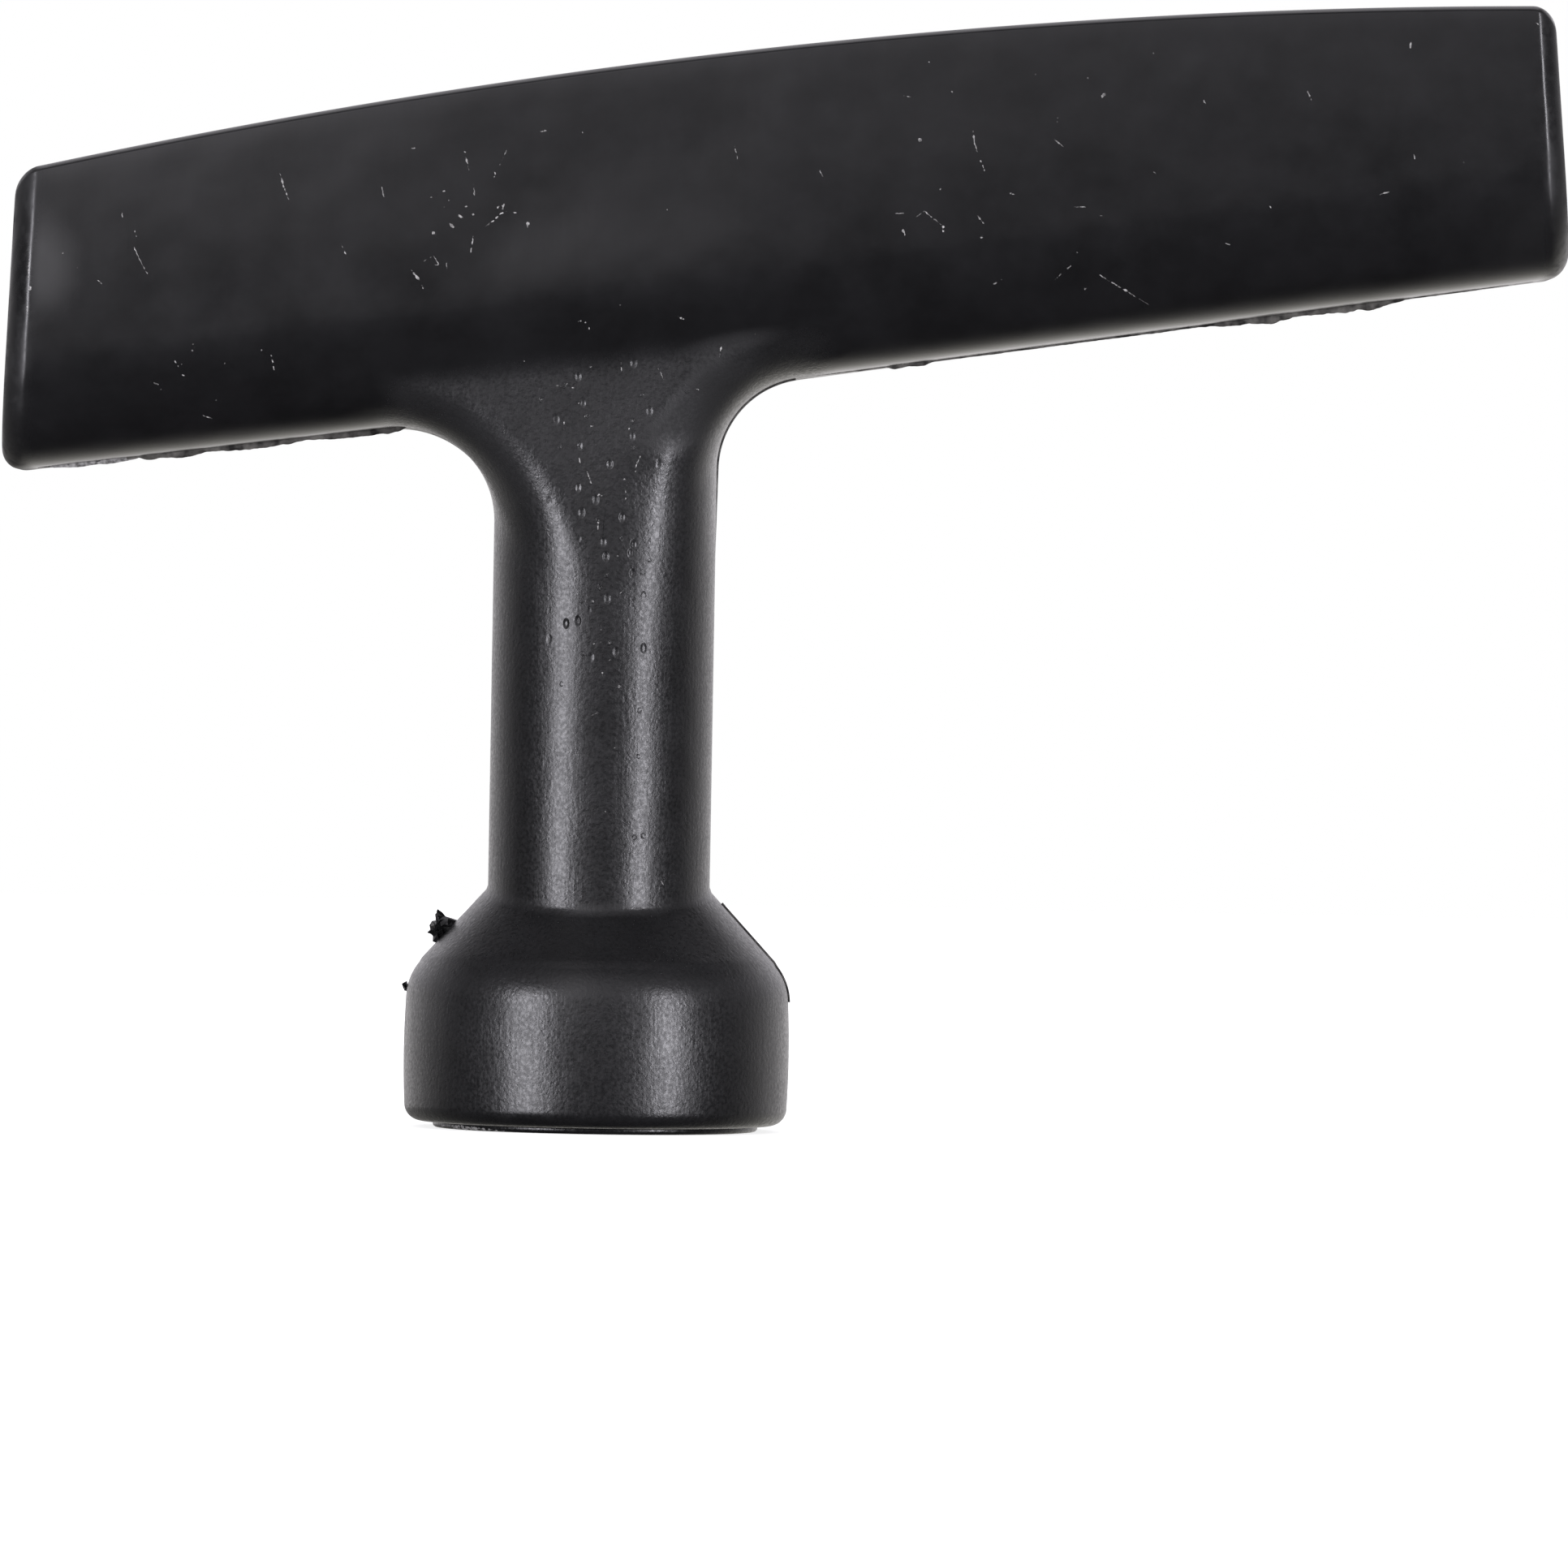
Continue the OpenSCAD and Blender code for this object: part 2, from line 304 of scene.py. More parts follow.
# %% The rows of the outer skin
outer = [net.add(whole_section(u, e, narrow=n)) for u, e, n in rows]
columns = len(outer[0])
edge_from = len(rim_profile) + side_steps - 1
edge_to = columns - 1 - edge_from
row_of = {u: i for i, (u, e, n) in enumerate(rows) if e == 0.0}
ra, rb = row_of[region_a], row_of[region_b]
ha, hb = row_of[hollow_a], row_of[hollow_b]
for i in range(len(rows) - 1):
    for j in range(columns - 1):
        if not (ra <= i < rb and edge_from <= j < edge_to):
            net.faces.append((outer[i][j], outer[i][j + 1], outer[i + 1][j + 1], outer[i + 1][j]))
print(columns, "points in each row")

# %% [markdown]
# ## The end walls and the flat of the rim
# Each end wall is two flat faces that meet in a faint ridge where the mould parts.
# Beyond the hollow the rim closes over into the top edge of the end wall.

# %% End walls and rim ends
half_n = columns // 2


def close_end(i):
    u, e, _ = rows[i]
    return net.add(place(u, [(0.0, float(rim_z(u)) - e)]))[0]


def wall_pair(row, top):
    net.faces.append((top, *row[:half_n + 1]))
    net.faces.append((*row[half_n:], top))


tops = {i: close_end(i) for i in [*range(0, ha + 1), *range(hb, len(rows))]}
for i in [*range(0, ha), *range(hb, len(rows) - 1)]:
    net.faces.append((outer[i][0], outer[i + 1][0], tops[i + 1], tops[i]))
    net.faces.append((outer[i][-1], tops[i], tops[i + 1], outer[i + 1][-1]))
wall_pair(outer[0], tops[0])
wall_pair(outer[-1], tops[len(rows) - 1])
print("End walls closed")

# %% [markdown]
# ## The hollow
# The grip is a trough with 1.9 mm walls. Its rows start from the very points where
# the rim's rows end, so the rim's inner edge is shared and the surface stays closed.

# %% Rows of the hollow
inner = {}
for i in range(ha, hb + 1):
    pts = whole_section(rows[i][0], inner=True)
    inner[i] = [outer[i][0], *net.add(pts[1:-1]), outer[i][-1]]
inner_n = len(inner[ha])
in_from, in_to = side_steps, inner_n - 1 - side_steps
for i in range(ha, hb):
    for j in range(inner_n - 1):
        if not (ra <= i < rb and in_from <= j < in_to):
            net.faces.append((inner[i][j], inner[i + 1][j], inner[i + 1][j + 1], inner[i][j + 1]))
for i in (ha, hb):
    net.faces.append((tops[i], *inner[i][:inner_n // 2 + 1]))
    net.faces.append((*inner[i][inner_n // 2:], tops[i]))
print("The hollow is", round(hollow_b - hollow_a, 1), "mm long")

# %% [markdown]
# ## The oval stem and its root
# The stem's plan is two half rounds with a short flat between them. Under the grip it flares
# along the bar. In each lengthwise upright plane a circle rolls into the corner, 6 mm in radius
# at the sides and more than twice that at the front, where the flares leave a flat between them.

# %% Directions round the stem
arc_n, flat_n, face_n = 100, 6, 44
ways, fronts = [], []
for half in (1, -1):
    for k in range(arc_n + 1):
        a = math.pi * k / arc_n + (0 if half == 1 else math.pi)
        ways.append((stem_r * math.cos(a), half * stem_flat + stem_r * math.sin(a), math.cos(a)))
    fronts.append(len(ways) - 1 - arc_n // 2)
    for k in range(1, flat_n):
        ways.append((-half * stem_r, half * stem_flat * (1 - 2 * k / flat_n), -half))
px, py, dx = np.array(ways).T
around = np.arctan2(py, px)
print(len(ways), "directions round the stem")

# %% One rib of the flare for each direction, and both ribs of the front and the back
cols, spread = [], []
for i in range(len(ways)):
    if i in fronts:
        first = 1 if i == fronts[0] else -1
        cols += [(i, first)] + [(i, 0)] * face_n + [(i, -first)]
        spread += [k / (face_n + 1) for k in range(face_n + 2)]
    else:
        cols.append((i, 1 if dx[i] > 0 else -1))
        spread.append(0.0)
base = np.array([c[0] for c in cols])
way = np.array([c[1] for c in cols], float)
spread = np.array(spread)
rib = way != 0
sx, sy = px[base], py[base]
face_r = np.where(way < 0, root_face_short, root_face_long)
flare = root_r + (face_r - root_r) * (1 - np.abs(dx[base]) ** 1.7)
print(len(cols), "ribs, with a radius from", round(float(flare.min()), 1), "to",
      round(float(flare.max()), 1), "mm")


# %% The rolling circle
def under_skin(x, y):
    out = np.maximum(0, np.abs(y) - (half_w(x) - under_r))
    return under_z(x) + under_r - np.sqrt(np.maximum(0, under_r**2 - out**2))


rise = (under_skin(sx + way * (flare + 0.5), sy) - under_skin(sx + way * (flare - 0.5), sy))
lean = np.arctan(rise)
touch_s = flare * (1 - np.sin(lean))
touch_x = sx + way * touch_s
ball_z = under_skin(touch_x, sy) - flare * np.cos(lean)
reach = math.pi / 2 - lean
print("The flare reaches", round(float(touch_x.min()), 1), "to", round(float(touch_x.max()), 1), "mm")


def flare_row(t):
    """Points of the flare at a share t of its arc: 0 at the stem, 1 at the grip."""
    x = sx + way * flare * (1 - np.cos(reach * t))
    z = ball_z + flare * np.sin(reach * t)
    for f in fronts:
        at = np.flatnonzero(base == f)
        a, b = at[0], at[-1]
        x[at] = x[a] + (x[b] - x[a]) * spread[at]
        z[at] = z[a] + (z[b] - z[a]) * spread[at]
    return x, z


# %% [markdown]
# ## Letting the stem into the grip's skin
# The ring where the ball touches is cut into the skin as a hole. The skin is laid flat
# first, with one direction along the grip and one round its edge, and filled with triangles
# between the hole and the regular rows. This is a constrained Delaunay triangulation.

# %% Flat coordinates of a point on the skin
half_flat = 2.9


def flat_coords(x, y, inner_side):
    """Along, across and height for a point of the underside or of the hollow's floor."""
    inset, lift = (wall, floor_t) if inner_side else (0, 0)
    r, u = under_r - inset, x
    for again in range(5):
        if again:                       # a row leans with the end walls, so its place is found in steps
            u = x - shift(u, y, z)
        level = half_w(u) - inset - r
        out = np.maximum(0, np.abs(y) - level)
        z = under_z(u) + lift + r - np.sqrt(np.maximum(0, r * r - out * out))
    across = np.where(np.abs(y) <= level, np.abs(y) / level * half_flat,
                      half_flat + r * np.arcsin(np.clip(out / r, 0, 1)))
    return u, across * np.sign(y), z


print("The level middle of the underside is laid out", 2 * half_flat, "mm wide")


# %% The same for a regular column, and a test for the inside
def column_across(j, first, last, inner_side):
    """Flat coordinate of a regular column between the two edges of the region."""
    r, turn = (under_r - wall, 0) if inner_side else (under_r, crown_turn)
    from_middle = (last - first) / 2 - (j - first)
    sign, n = (1 if from_middle > 0 else -1), abs(from_middle)
    if n <= flat_steps:
        return sign * half_flat * n / flat_steps
    return sign * (half_flat + r * (math.pi / 2 - turn) * (n - flat_steps) / corner_steps)


def inside(x, y, ring):
    """True for the points inside a closed polygon."""
    hit = np.zeros(len(x), bool)
    for (x0, y0), (x1, y1) in zip(ring, np.roll(ring, -1, axis=0)):
        cross = (y0 > y) != (y1 > y)
        at = x0 + (y - y0) * (x1 - x0) / (y1 - y0 if y1 != y0 else 1e-12)
        hit ^= cross & (x < at)
    return hit


print("Flat helpers ready")

# %% Fill the skin between its rows and a hole
def fill_round(grid, first, last, ring_ids, ring_flat, inner_side, clear=0.22):
    """Triangles between a block of the rows and the ring; rows' points near the ring are left out."""
    flat, ids, seen = [], [], {}

    def put(vertex, at):
        seen[vertex] = len(flat)
        flat.append(at)
        ids.append(vertex)

    across = [column_across(j, first, last, inner_side) for j in range(first, last + 1)]
    at = np.array([(rows[i][0], v) for i in range(ra, rb + 1) for v in across])
    cells = [(i, j) for i in range(ra, rb + 1) for j in range(first, last + 1)]
    gap = np.hypot(at[:, :1] - ring_flat[:, 0], at[:, 1:] - ring_flat[:, 1]).min(axis=1)
    free = (gap > clear) & ~inside(at[:, 0], at[:, 1], ring_flat)
    for (i, j), p, open_skin in zip(cells, at, free):
        if open_skin or i in (ra, rb) or j in (first, last):
            put(grid[i][j], tuple(p))
    border = [grid[ra][j] for j in range(first, last)] + [grid[i][last] for i in range(ra, rb)]
    border += [grid[rb][j] for j in range(last, first, -1)]
    border += [grid[i][first] for i in range(rb, ra, -1)]
    edges = [(seen[a], seen[b]) for a, b in zip(border, border[1:] + border[:1])]
    start, n = len(flat), len(ring_ids)
    for v, p in zip(ring_ids, ring_flat):
        put(v, tuple(p))
    edges += [(start + k, start + (k + 1) % n) for k in range(n)]
    out, _, tris, origin, _, _ = delaunay_2d_cdt([Vector(p) for p in flat], edges, [], 0, 1e-7)
    if len(out) != len(flat):
        print("the fill made", len(out) - len(flat), "points of its own")
    back = [ids[o[0]] for o in origin]
    mid = np.array([[sum(out[k][c] for k in t) / 3 for c in (0, 1)] for t in tris])
    hole = inside(mid[:, 0], mid[:, 1], ring_flat)
    kept = [tuple(back[k] for k in t) for t, h in zip(tris, hole) if not h]
    net.faces.extend(kept)
    return len(kept)


print("A hole's ring can be joined to the rows")

# %% The root, from the skin down to the stem
root_steps = 40
touch_x, flare_z = flare_row(1.0)
touch_u, touch_v, touch_z = flat_coords(touch_x, sy, False)
offset = touch_z - flare_z
ring = net.add(zip(touch_x, sy, touch_z))
made = fill_round(outer, edge_from, edge_to, ring, np.column_stack([touch_u, touch_v]), False)
for k in range(root_steps - 1, 0, -1):
    x, z = flare_row(k / root_steps)
    ring = net.next_ring(ring, x, sy, z + offset * (k / root_steps) ** 2)
foot_of_root = np.full(len(ways), np.inf)
np.minimum.at(foot_of_root, base[rib], ball_z[rib])
stem_ring = net.add(zip(px, py, foot_of_root))
net.band(ring, [stem_ring[i] for i in base])
ring = stem_ring
print(made, "triangles join the root to the grip")

# %% [markdown]
# ## Stem, bell and the rope's way
# From the root the rows run straight down the stem to the neck, out over the cone and the
# round shoulder, down the bell and under its foot, up the socket, and through the bore
# and its funnel into the knot pocket. Each row is a ring with the same number of points.

# %% Down the stem to the neck
stem_steps, soft_neck = 40, 0.2
plan_r = np.hypot(px, py)
neck_z = bell_h - (plan_r - stem_r) / tan(cone_angle)
for k in range(1, stem_steps + 1):
    z = foot_of_root + (neck_z + soft_neck - foot_of_root) * k / stem_steps
    ring = net.next_ring(ring, px, py, z)
print("The neck is", round(float(neck_z.max()), 1), "mm over the foot")

# %% Over the soft neck and down the cone
cone_steps, barrel = 14, 0.09           # the bell's side bows in by the barrel above and below
ux, uy = np.cos(around), np.sin(around)
slant_out, slant_down = math.sin(math.radians(cone_angle)), math.cos(math.radians(cone_angle))
for out, up in ((0.055, 0.075), (soft_neck * slant_out, -soft_neck * slant_down)):
    ring = net.next_ring(ring, (plan_r + out) * ux, (plan_r + out) * uy, neck_z + up)
bell_r = bell_d / 2
shoulder_x = bell_r - shoulder_r
edge_z = bell_h - (bell_r - stem_r) / tan(cone_angle)
shoulder_z = edge_z - shoulder_r * tan(cone_angle / 2)
cone_start = plan_r + soft_neck * slant_out
cone_end = shoulder_x - barrel + shoulder_r * math.cos(math.radians(cone_angle))
for k in range(1, cone_steps + 1):
    r = cone_start + (cone_end - cone_start) * k / cone_steps
    ring = net.next_ring(ring, r * ux, r * uy, bell_h - (r - stem_r) / tan(cone_angle))
print("The cone ends", round(cone_end, 2), "mm from the axis")

# %% The turned rows, as pairs of radius and height
foot_z = lip_h + foot_r
slight = 3.0                            # the arcs stop this many degrees before the side
bow = (shoulder_z - foot_z) / 2
profile = [(shoulder_x - barrel + shoulder_r * math.cos(a), shoulder_z + shoulder_r * math.sin(a))
           for a in np.radians(np.linspace(cone_angle, slight, 12))[1:]]
profile += [(bell_r - barrel * (k / 5) ** 2, foot_z + bow * (1 + k / 5)) for k in range(4, -5, -1)]
profile += [(bell_r - barrel - foot_r + foot_r * math.cos(a), foot_z + foot_r * math.sin(a))
            for a in np.radians(np.linspace(-slight, -90, 13))]
print(len(profile), "rows from the shoulder to the foot")

# %% The lip, the socket, the bore and the funnel
lip, sock, bore = lip_d / 2, socket_d / 2, rope_d / 2
profile += [(lip + 0.15, lip_h), (lip, lip_h - 0.08), (lip, lip_r)]
profile += [(lip - lip_r + lip_r * math.cos(a), lip_r + lip_r * math.sin(a))
            for a in np.radians(np.linspace(0, -90, 6))[1:]]
profile += [(sock + 0.2, 0.0), (sock + 0.06, 0.06), (sock, 0.2)]
profile += [(sock, 2.5), (sock, 5.0), (sock, socket_depth - 0.15), (sock - 0.15, socket_depth)]
profile += [(bore + 0.3, socket_depth), (bore, socket_depth + 0.3)]
knot_floor = float(rim_z(0)) - boss_recess - knot_depth
funnel_low = knot_floor - funnel_h
profile += [(bore, socket_depth + (funnel_low - socket_depth) * k / 12) for k in range(1, 13)]
mouth_r = min(funnel_d, knot_w - 1) / 2
profile += [(bore + (mouth_r - bore) * k / 4, funnel_low + funnel_h * k / 4) for k in range(1, 5)]
for r, z in profile:
    ring = net.next_ring(ring, r * ux, r * uy, z)
print("The turned part of the handle has", len(profile), "rows")

# %% [markdown]
# ## The knot pocket and its boss
# The rope's knot sits in an oval pocket in a boss over the stem. The boss is a block with
# round corners whose ends bulge round the pocket, and its face slopes a little.
# Its outline has no short formula, so it is found by halving: in each direction a near and
# a far distance close in on the place where the shape ends.

# %% The pocket's walls
boss_face = float(rim_z(0)) - boss_recess
boss_soft, pocket_steps = 0.15, 10


def face_z(x):
    return boss_face + x * tan(boss_slope)


ex, ey = np.cos(around) * knot_l / 2, np.sin(around) * knot_w / 2
ring = net.next_ring(ring, ex, ey, knot_floor)
for k in range(1, pocket_steps + 1):
    z = knot_floor + (face_z(ex) - boss_soft - knot_floor) * k / pocket_steps
    ring = net.next_ring(ring, ex, ey, z)
wider = 1 + boss_soft / np.hypot(ex, ey)
ring = net.next_ring(ring, ex * wider, ey * wider, face_z(ex * wider))
print("The pocket is", knot_depth, "mm deep")

# %% The boss's outline
bulge_l, bulge_w = knot_l / 2 + boss_wall, knot_w / 2 + boss_wall


def in_boss(x, y):
    x, y = np.abs(x), np.abs(y)
    qx, qy = x - (boss_l / 2 - boss_r), y - (boss_w / 2 - boss_r)
    block = np.hypot(np.maximum(qx, 0), np.maximum(qy, 0)) + np.minimum(np.maximum(qx, qy), 0) <= boss_r
    bulge = ((x / bulge_l) ** 2 + (y / bulge_w) ** 2 <= 1) & (y <= boss_w / 2)
    return block | bulge


angle = np.arctan2(ey, ex)
near_by, far_out = np.full(len(angle), 4.0), np.full(len(angle), 16.0)
halvings = 40
for _ in range(halvings):
    r = (near_by + far_out) / 2
    solid = in_boss(r * np.cos(angle), r * np.sin(angle))
    near_by, far_out = np.where(solid, r, near_by), np.where(solid, far_out, r)
bx, by = near_by * np.cos(angle), near_by * np.sin(angle)
print("The boss is", round(float(bx.max() - bx.min()), 2), "mm long")

# %% Over the boss's face and down its side
boss_steps = 6
inner_edge = 1 - boss_soft / near_by
for fx, fy, fz in ((bx * inner_edge, by * inner_edge, 0.0), (bx, by, -boss_soft)):
    ring = net.next_ring(ring, fx, fy, face_z(fx) + fz)
boss_u, boss_v, boss_foot = flat_coords(bx, by, True)
for k in range(1, boss_steps + 1):
    z = face_z(bx) - boss_soft + (boss_foot - face_z(bx) + boss_soft) * k / boss_steps
    ring = net.next_ring(ring, bx, by, z)
made = fill_round(inner, in_from, in_to, ring, np.column_stack([boss_u, boss_v]), True)
print(made, "triangles join the boss to the hollow's floor")

# %% [markdown]
# ## The cross rib
# One wall crosses the hollow of the longer arm, just below the rim, and keeps the sides
# from squeezing in. It has the trough's own section, a little larger, so that its edges end
# inside the walls, and its upper edges are softened.

# %% The rib's rows
rib_soft, sunk = 0.3, 0.6
half_t = rib_t / 2
rib_rows = [(-half_t + rib_soft * (1 - math.cos(a)), rib_soft * (1 - math.sin(a)))
            for a in np.radians([0, 22.5, 45, 67.5, 90])]
rib_rows += [(-x, d) for x, d in rib_rows[::-1]]
rib_ids = []
for x, drop in rib_rows:
    u = rib_x + x
    w, r = half_w(u) - wall + sunk, under_r - wall + sunk
    low, high = under_z(u) + floor_t - sunk, rim_z(u) - rib_recess - drop
    half = [(w * k / 6, high) for k in range(7)]
    half += [(w, high + (low + r - high) * k / 10) for k in range(1, 10)]
    half += [(w - r + r * math.cos(a), low + r - r * math.sin(a))
             for a in np.radians(np.linspace(0, 90, 10))]
    half += [((w - r) * (1 - k / 4), low) for k in range(1, 5)]
    pts = half[:-1] + [(-y, z) for y, z in half[:0:-1]]
    rib_ids.append(net.add([(u, y, z) for y, z in pts]))
for a, b in zip(rib_ids, rib_ids[1:]):
    net.band(a, b)
net.faces += [tuple(rib_ids[0]), tuple(rib_ids[-1])]
print("The rib is", rib_t, "mm thick")

# %% [markdown]
# ## A soft line over the root
# Where the flat front of the root runs up into the round edge of the grip, the mould has no
# sharp line. The points near it are eased towards their neighbours again and again, which
# rounds the crease by a millimetre or two and leaves everything else alone.

# %% Which points lie near the crease
points = np.array(net.points)
pairs = np.array([(f[k], f[(k + 1) % len(f)]) for f in net.faces for k in range(len(f))])
pairs = np.concatenate([pairs, pairs[:, ::-1]])
used = np.isin(np.arange(len(points)), pairs)
stem_front = stem_flat + stem_r
along_x = np.clip(points[:, 0], float(touch_x.min()), float(touch_x.max()))
crease = np.column_stack([along_x, np.sign(points[:, 1]) * stem_front, under_skin(along_x, stem_front)])
gap = np.linalg.norm(points - crease, axis=1)
ease = np.clip(1.25 - gap / 2.4, 0, 1) * 0.6        # full within 0.6 mm, nothing beyond 3 mm
behind_face = np.abs(points[:, 1]) < 5.5            # the root's own sides stay
above_edge = points[:, 2] > under_z(points[:, 0]) + under_r
ease[behind_face | above_edge] = 0
near = np.flatnonzero(used & (ease > 0))
print(len(near), "points lie near the crease")

# %% Ease them towards their neighbours
rounds = 60
keep_pairs = pairs[np.isin(pairs[:, 0], near)]
count = np.bincount(keep_pairs[:, 0], minlength=len(points))[:, None]
for _ in range(rounds):
    total = np.zeros_like(points)
    np.add.at(total, keep_pairs[:, 0], points[keep_pairs[:, 1]])
    points[near] += ease[near, None] * (total[near] / count[near] - points[near])
print("The crease is eased", rounds, "times")

# %% [markdown]
# ## The sink over the root
# Thick plastic shrinks more than thin. Over the root, where the boss stands inside, each side
# of the grip is drawn in by about a fifth of a millimetre and swells a little just below.
# It can't be seen as a shape, but it gives the soft patch of sheen over the stem. Both kinds
# of draw are a curve through a few knots with its corners smoothed, and fade to the sides.

# %% Smooth curves and smooth steps
def knot_curve(grid, knots, reach):
    """Values over an even grid, with corners rounded over this many places to each side."""
    curve = np.interp(grid, [k[0] for k in knots], [k[1] for k in knots])
    weight = np.hanning(2 * reach + 1)
    return np.convolve(np.pad(curve, reach, mode="edge"), weight / weight.sum(), "valid")


def smooth(a, b, v):
    t = np.clip((v - a) / (b - a), 0, 1)
    return t * t * (3 - 2 * t)


print("Curve helpers ready")

# %% Draw the sides in over the root
sink_knots = [(0.6, 0.0), (2.6, 0.07), (4.4, 0.13), (6.0, 0.08), (7.6, -0.03), (9.2, -0.12), (11.0, -0.17),
              (13.0, -0.17), (16.0, -0.10), (19.0, -0.03), (21.0, 0.0)]
up_from_line = np.linspace(0, 22, 221)
line_at, line_slope = 49.2, 0.137       # the line over the root where the polish begins
line_z = line_at + line_slope * points[:, 0]
sides = np.abs(points[:, 1]) > half_w(points[:, 0]) - 1.2
window = np.clip(1.45 - np.abs(points[:, 0]) / 8.4, 0, 1)       # full to 3.8 mm, nothing from 12.2 mm
window = window**2 * (3 - 2 * window)
push = np.interp(points[:, 2] - line_z, up_from_line, knot_curve(up_from_line, sink_knots, 12)) * window
push[~sides | (np.abs(points[:, 0]) > 13)] = 0
print("The sides sink by up to", round(float(-push.min()), 2), "mm")

# %% [markdown]
# Beside the end walls the sides wander in and out by a few hundredths of a millimetre, so that
# the thin highlight on each end edge isn't ruled straight. The round edge to the right of the
# root's flat front is drawn out towards the long arm, where the real root is a little fuller.

# %% An uneven line beside the end walls
from_end = np.minimum(points[:, 0] + short_arm, long_arm - points[:, 0])
wander = sum(size * np.sin(points[:, 2] * turn + points[:, 0] * 0.4 + turn)
             for size, turn in ((0.022, 1.1), (0.014, 2.3), (0.009, 5.1), (0.006, 9.7)))
push += wander * sides * np.clip(1.3 - np.abs(from_end - 1.3) / 1.6, 0, 1)      # nothing from 3.4 mm
points[:, 1] += np.sign(points[:, 1]) * push
print("The lines wander by up to", round(float(np.abs(wander).max()), 3), "mm")

# %% Draw out the root's right front edge
pull_knots = [(29.0, 0.0), (33.0, 0.08), (36.0, 0.28), (41.0, 0.68), (43.3, 0.82), (45.0, 0.35), (47.0, 0.0)]
heights = np.linspace(28, 50, 221)
pull = knot_curve(heights, pull_knots, 10)
# most beside the flat front, in degrees round the edge from it, and nothing in the bore
from_front = np.degrees(np.arctan2(points[:, 0], np.maximum(np.abs(points[:, 1]) - stem_flat, 0.01)))
beside_face = smooth(3, 27, from_front) * (1 - smooth(33, 88, from_front))
outside = smooth(4.8, 6.0, np.hypot(points[:, 0], points[:, 1])) * (np.abs(points[:, 2] - 39) < 11)
points[:, 0] += np.interp(points[:, 2], heights, pull) * beside_face * outside
points[:, 2] = np.minimum(points[:, 2], cad_high[2] / MM)        # no higher than the CAD
net.points = [tuple(p) for p in points]
print("The right front edge is drawn out by up to", round(float(pull.max()), 2), "mm")

# %% [markdown]
# ## From the net to a mesh
# The net becomes a mesh in metres. Points that no face uses are dropped, the normals are
# made to point outwards, and the script checks that every edge has exactly two faces.

# %% The shell as a mesh
def to_mesh(name, points, faces):
    mesh = bpy.data.meshes.new(name)
    mesh.from_pydata([tuple(c * MM for c in p) for p in points], [], faces)
    bm = bmesh.new()
    bm.from_mesh(mesh)
    bmesh.ops.delete(bm, geom=[v for v in bm.verts if not v.link_faces], context="VERTS")
    bmesh.ops.recalc_face_normals(bm, faces=bm.faces)
    loose = sum(1 for e in bm.edges if len(e.link_faces) != 2)
    print(name, "has", len(bm.faces), "faces,", loose, "open edges and",
          round(bm.calc_volume() * 1e9, 1), "mm3")
    bm.to_mesh(mesh)
    bm.free()
    return mesh


shell_mesh = to_mesh("handle_body", net.points, net.faces)
handle = put_in_scene("handle_body", shell_mesh)

# %% [markdown]
# ## A finer look at the finish
# The plastic is black with a satin sheen. Close up it isn't even: the mould's fine grain breaks
# up the reflections, handling has dulled it in patches, and the stem and the bell are rougher
# than the polished grip, up to a line over the root. All of this is worked out from the
# point's own place on the object, so that it stays put when the camera moves.

# %% Nodes and wires
def new_material(name):
    material = bpy.data.materials.new(name)
    material.use_nodes = True
    tree = material.node_tree
    return material, tree, tree.nodes["Principled BSDF"]


def node(tree, kind, **settings):
    """A new node; a setting is one of its own properties, or the number on an input."""
    made = tree.nodes.new(kind)
    for key, value in settings.items():
        if key in made.bl_rna.properties:
            setattr(made, key, value)
        else:
            made.inputs[key.replace("_", " ")].default_value = value
    return made


def wire(tree, *pairs):
    for a, b in pairs:
        tree.links.new(a, b)


def give(tree, value, socket):
    """Put a number on a socket, or wire an output to it."""
    if isinstance(value, (int, float)):
        socket.default_value = value
    elif value is not None:
        tree.links.new(value, socket)


print("Helpers for nodes and wires ready")

# %% Sums
def math_node(tree, operation, a, b=None):
    made = node(tree, "ShaderNodeMath", operation=operation)
    give(tree, a, made.inputs[0])
    give(tree, b, made.inputs[1])
    return made.outputs[0]


def plus(tree, a, b):
    return math_node(tree, "ADD", a, b)


def minus(tree, a, b):
    return math_node(tree, "SUBTRACT", a, b)


def times(tree, a, b):
    return math_node(tree, "MULTIPLY", a, b)


def larger(tree, a, b):
    return math_node(tree, "MAXIMUM", a, b)


def change(tree, value, start, end, low=0.0, high=1.0, kind="LINEAR"):
    """Turn start to end of a value into low to high, and go no further."""
    made = node(tree, "ShaderNodeMapRange", interpolation_type=kind,
                From_Min=start, From_Max=end, To_Min=low, To_Max=high)
    wire(tree, (value, made.inputs["Value"]))
    return made.outputs["Result"]


def soft_change(tree, value, start, end, low=0.0, high=1.0):
    return change(tree, value, start, end, low, high, "SMOOTHSTEP")


print("Helpers for sums ready")

# %% Patterns, colours and bumps
def noise(tree, place, scale, detail, roughness=0.5):
    made = node(tree, "ShaderNodeTexNoise", Scale=scale, Detail=detail, Roughness=roughness)
    wire(tree, (place, made.inputs["Vector"]))
    return made.outputs["Fac"]


def stretched(tree, place, scale):
    made = node(tree, "ShaderNodeMapping")
    made.inputs["Scale"].default_value = scale
    wire(tree, (place, made.inputs["Vector"]))
    return made.outputs["Vector"]


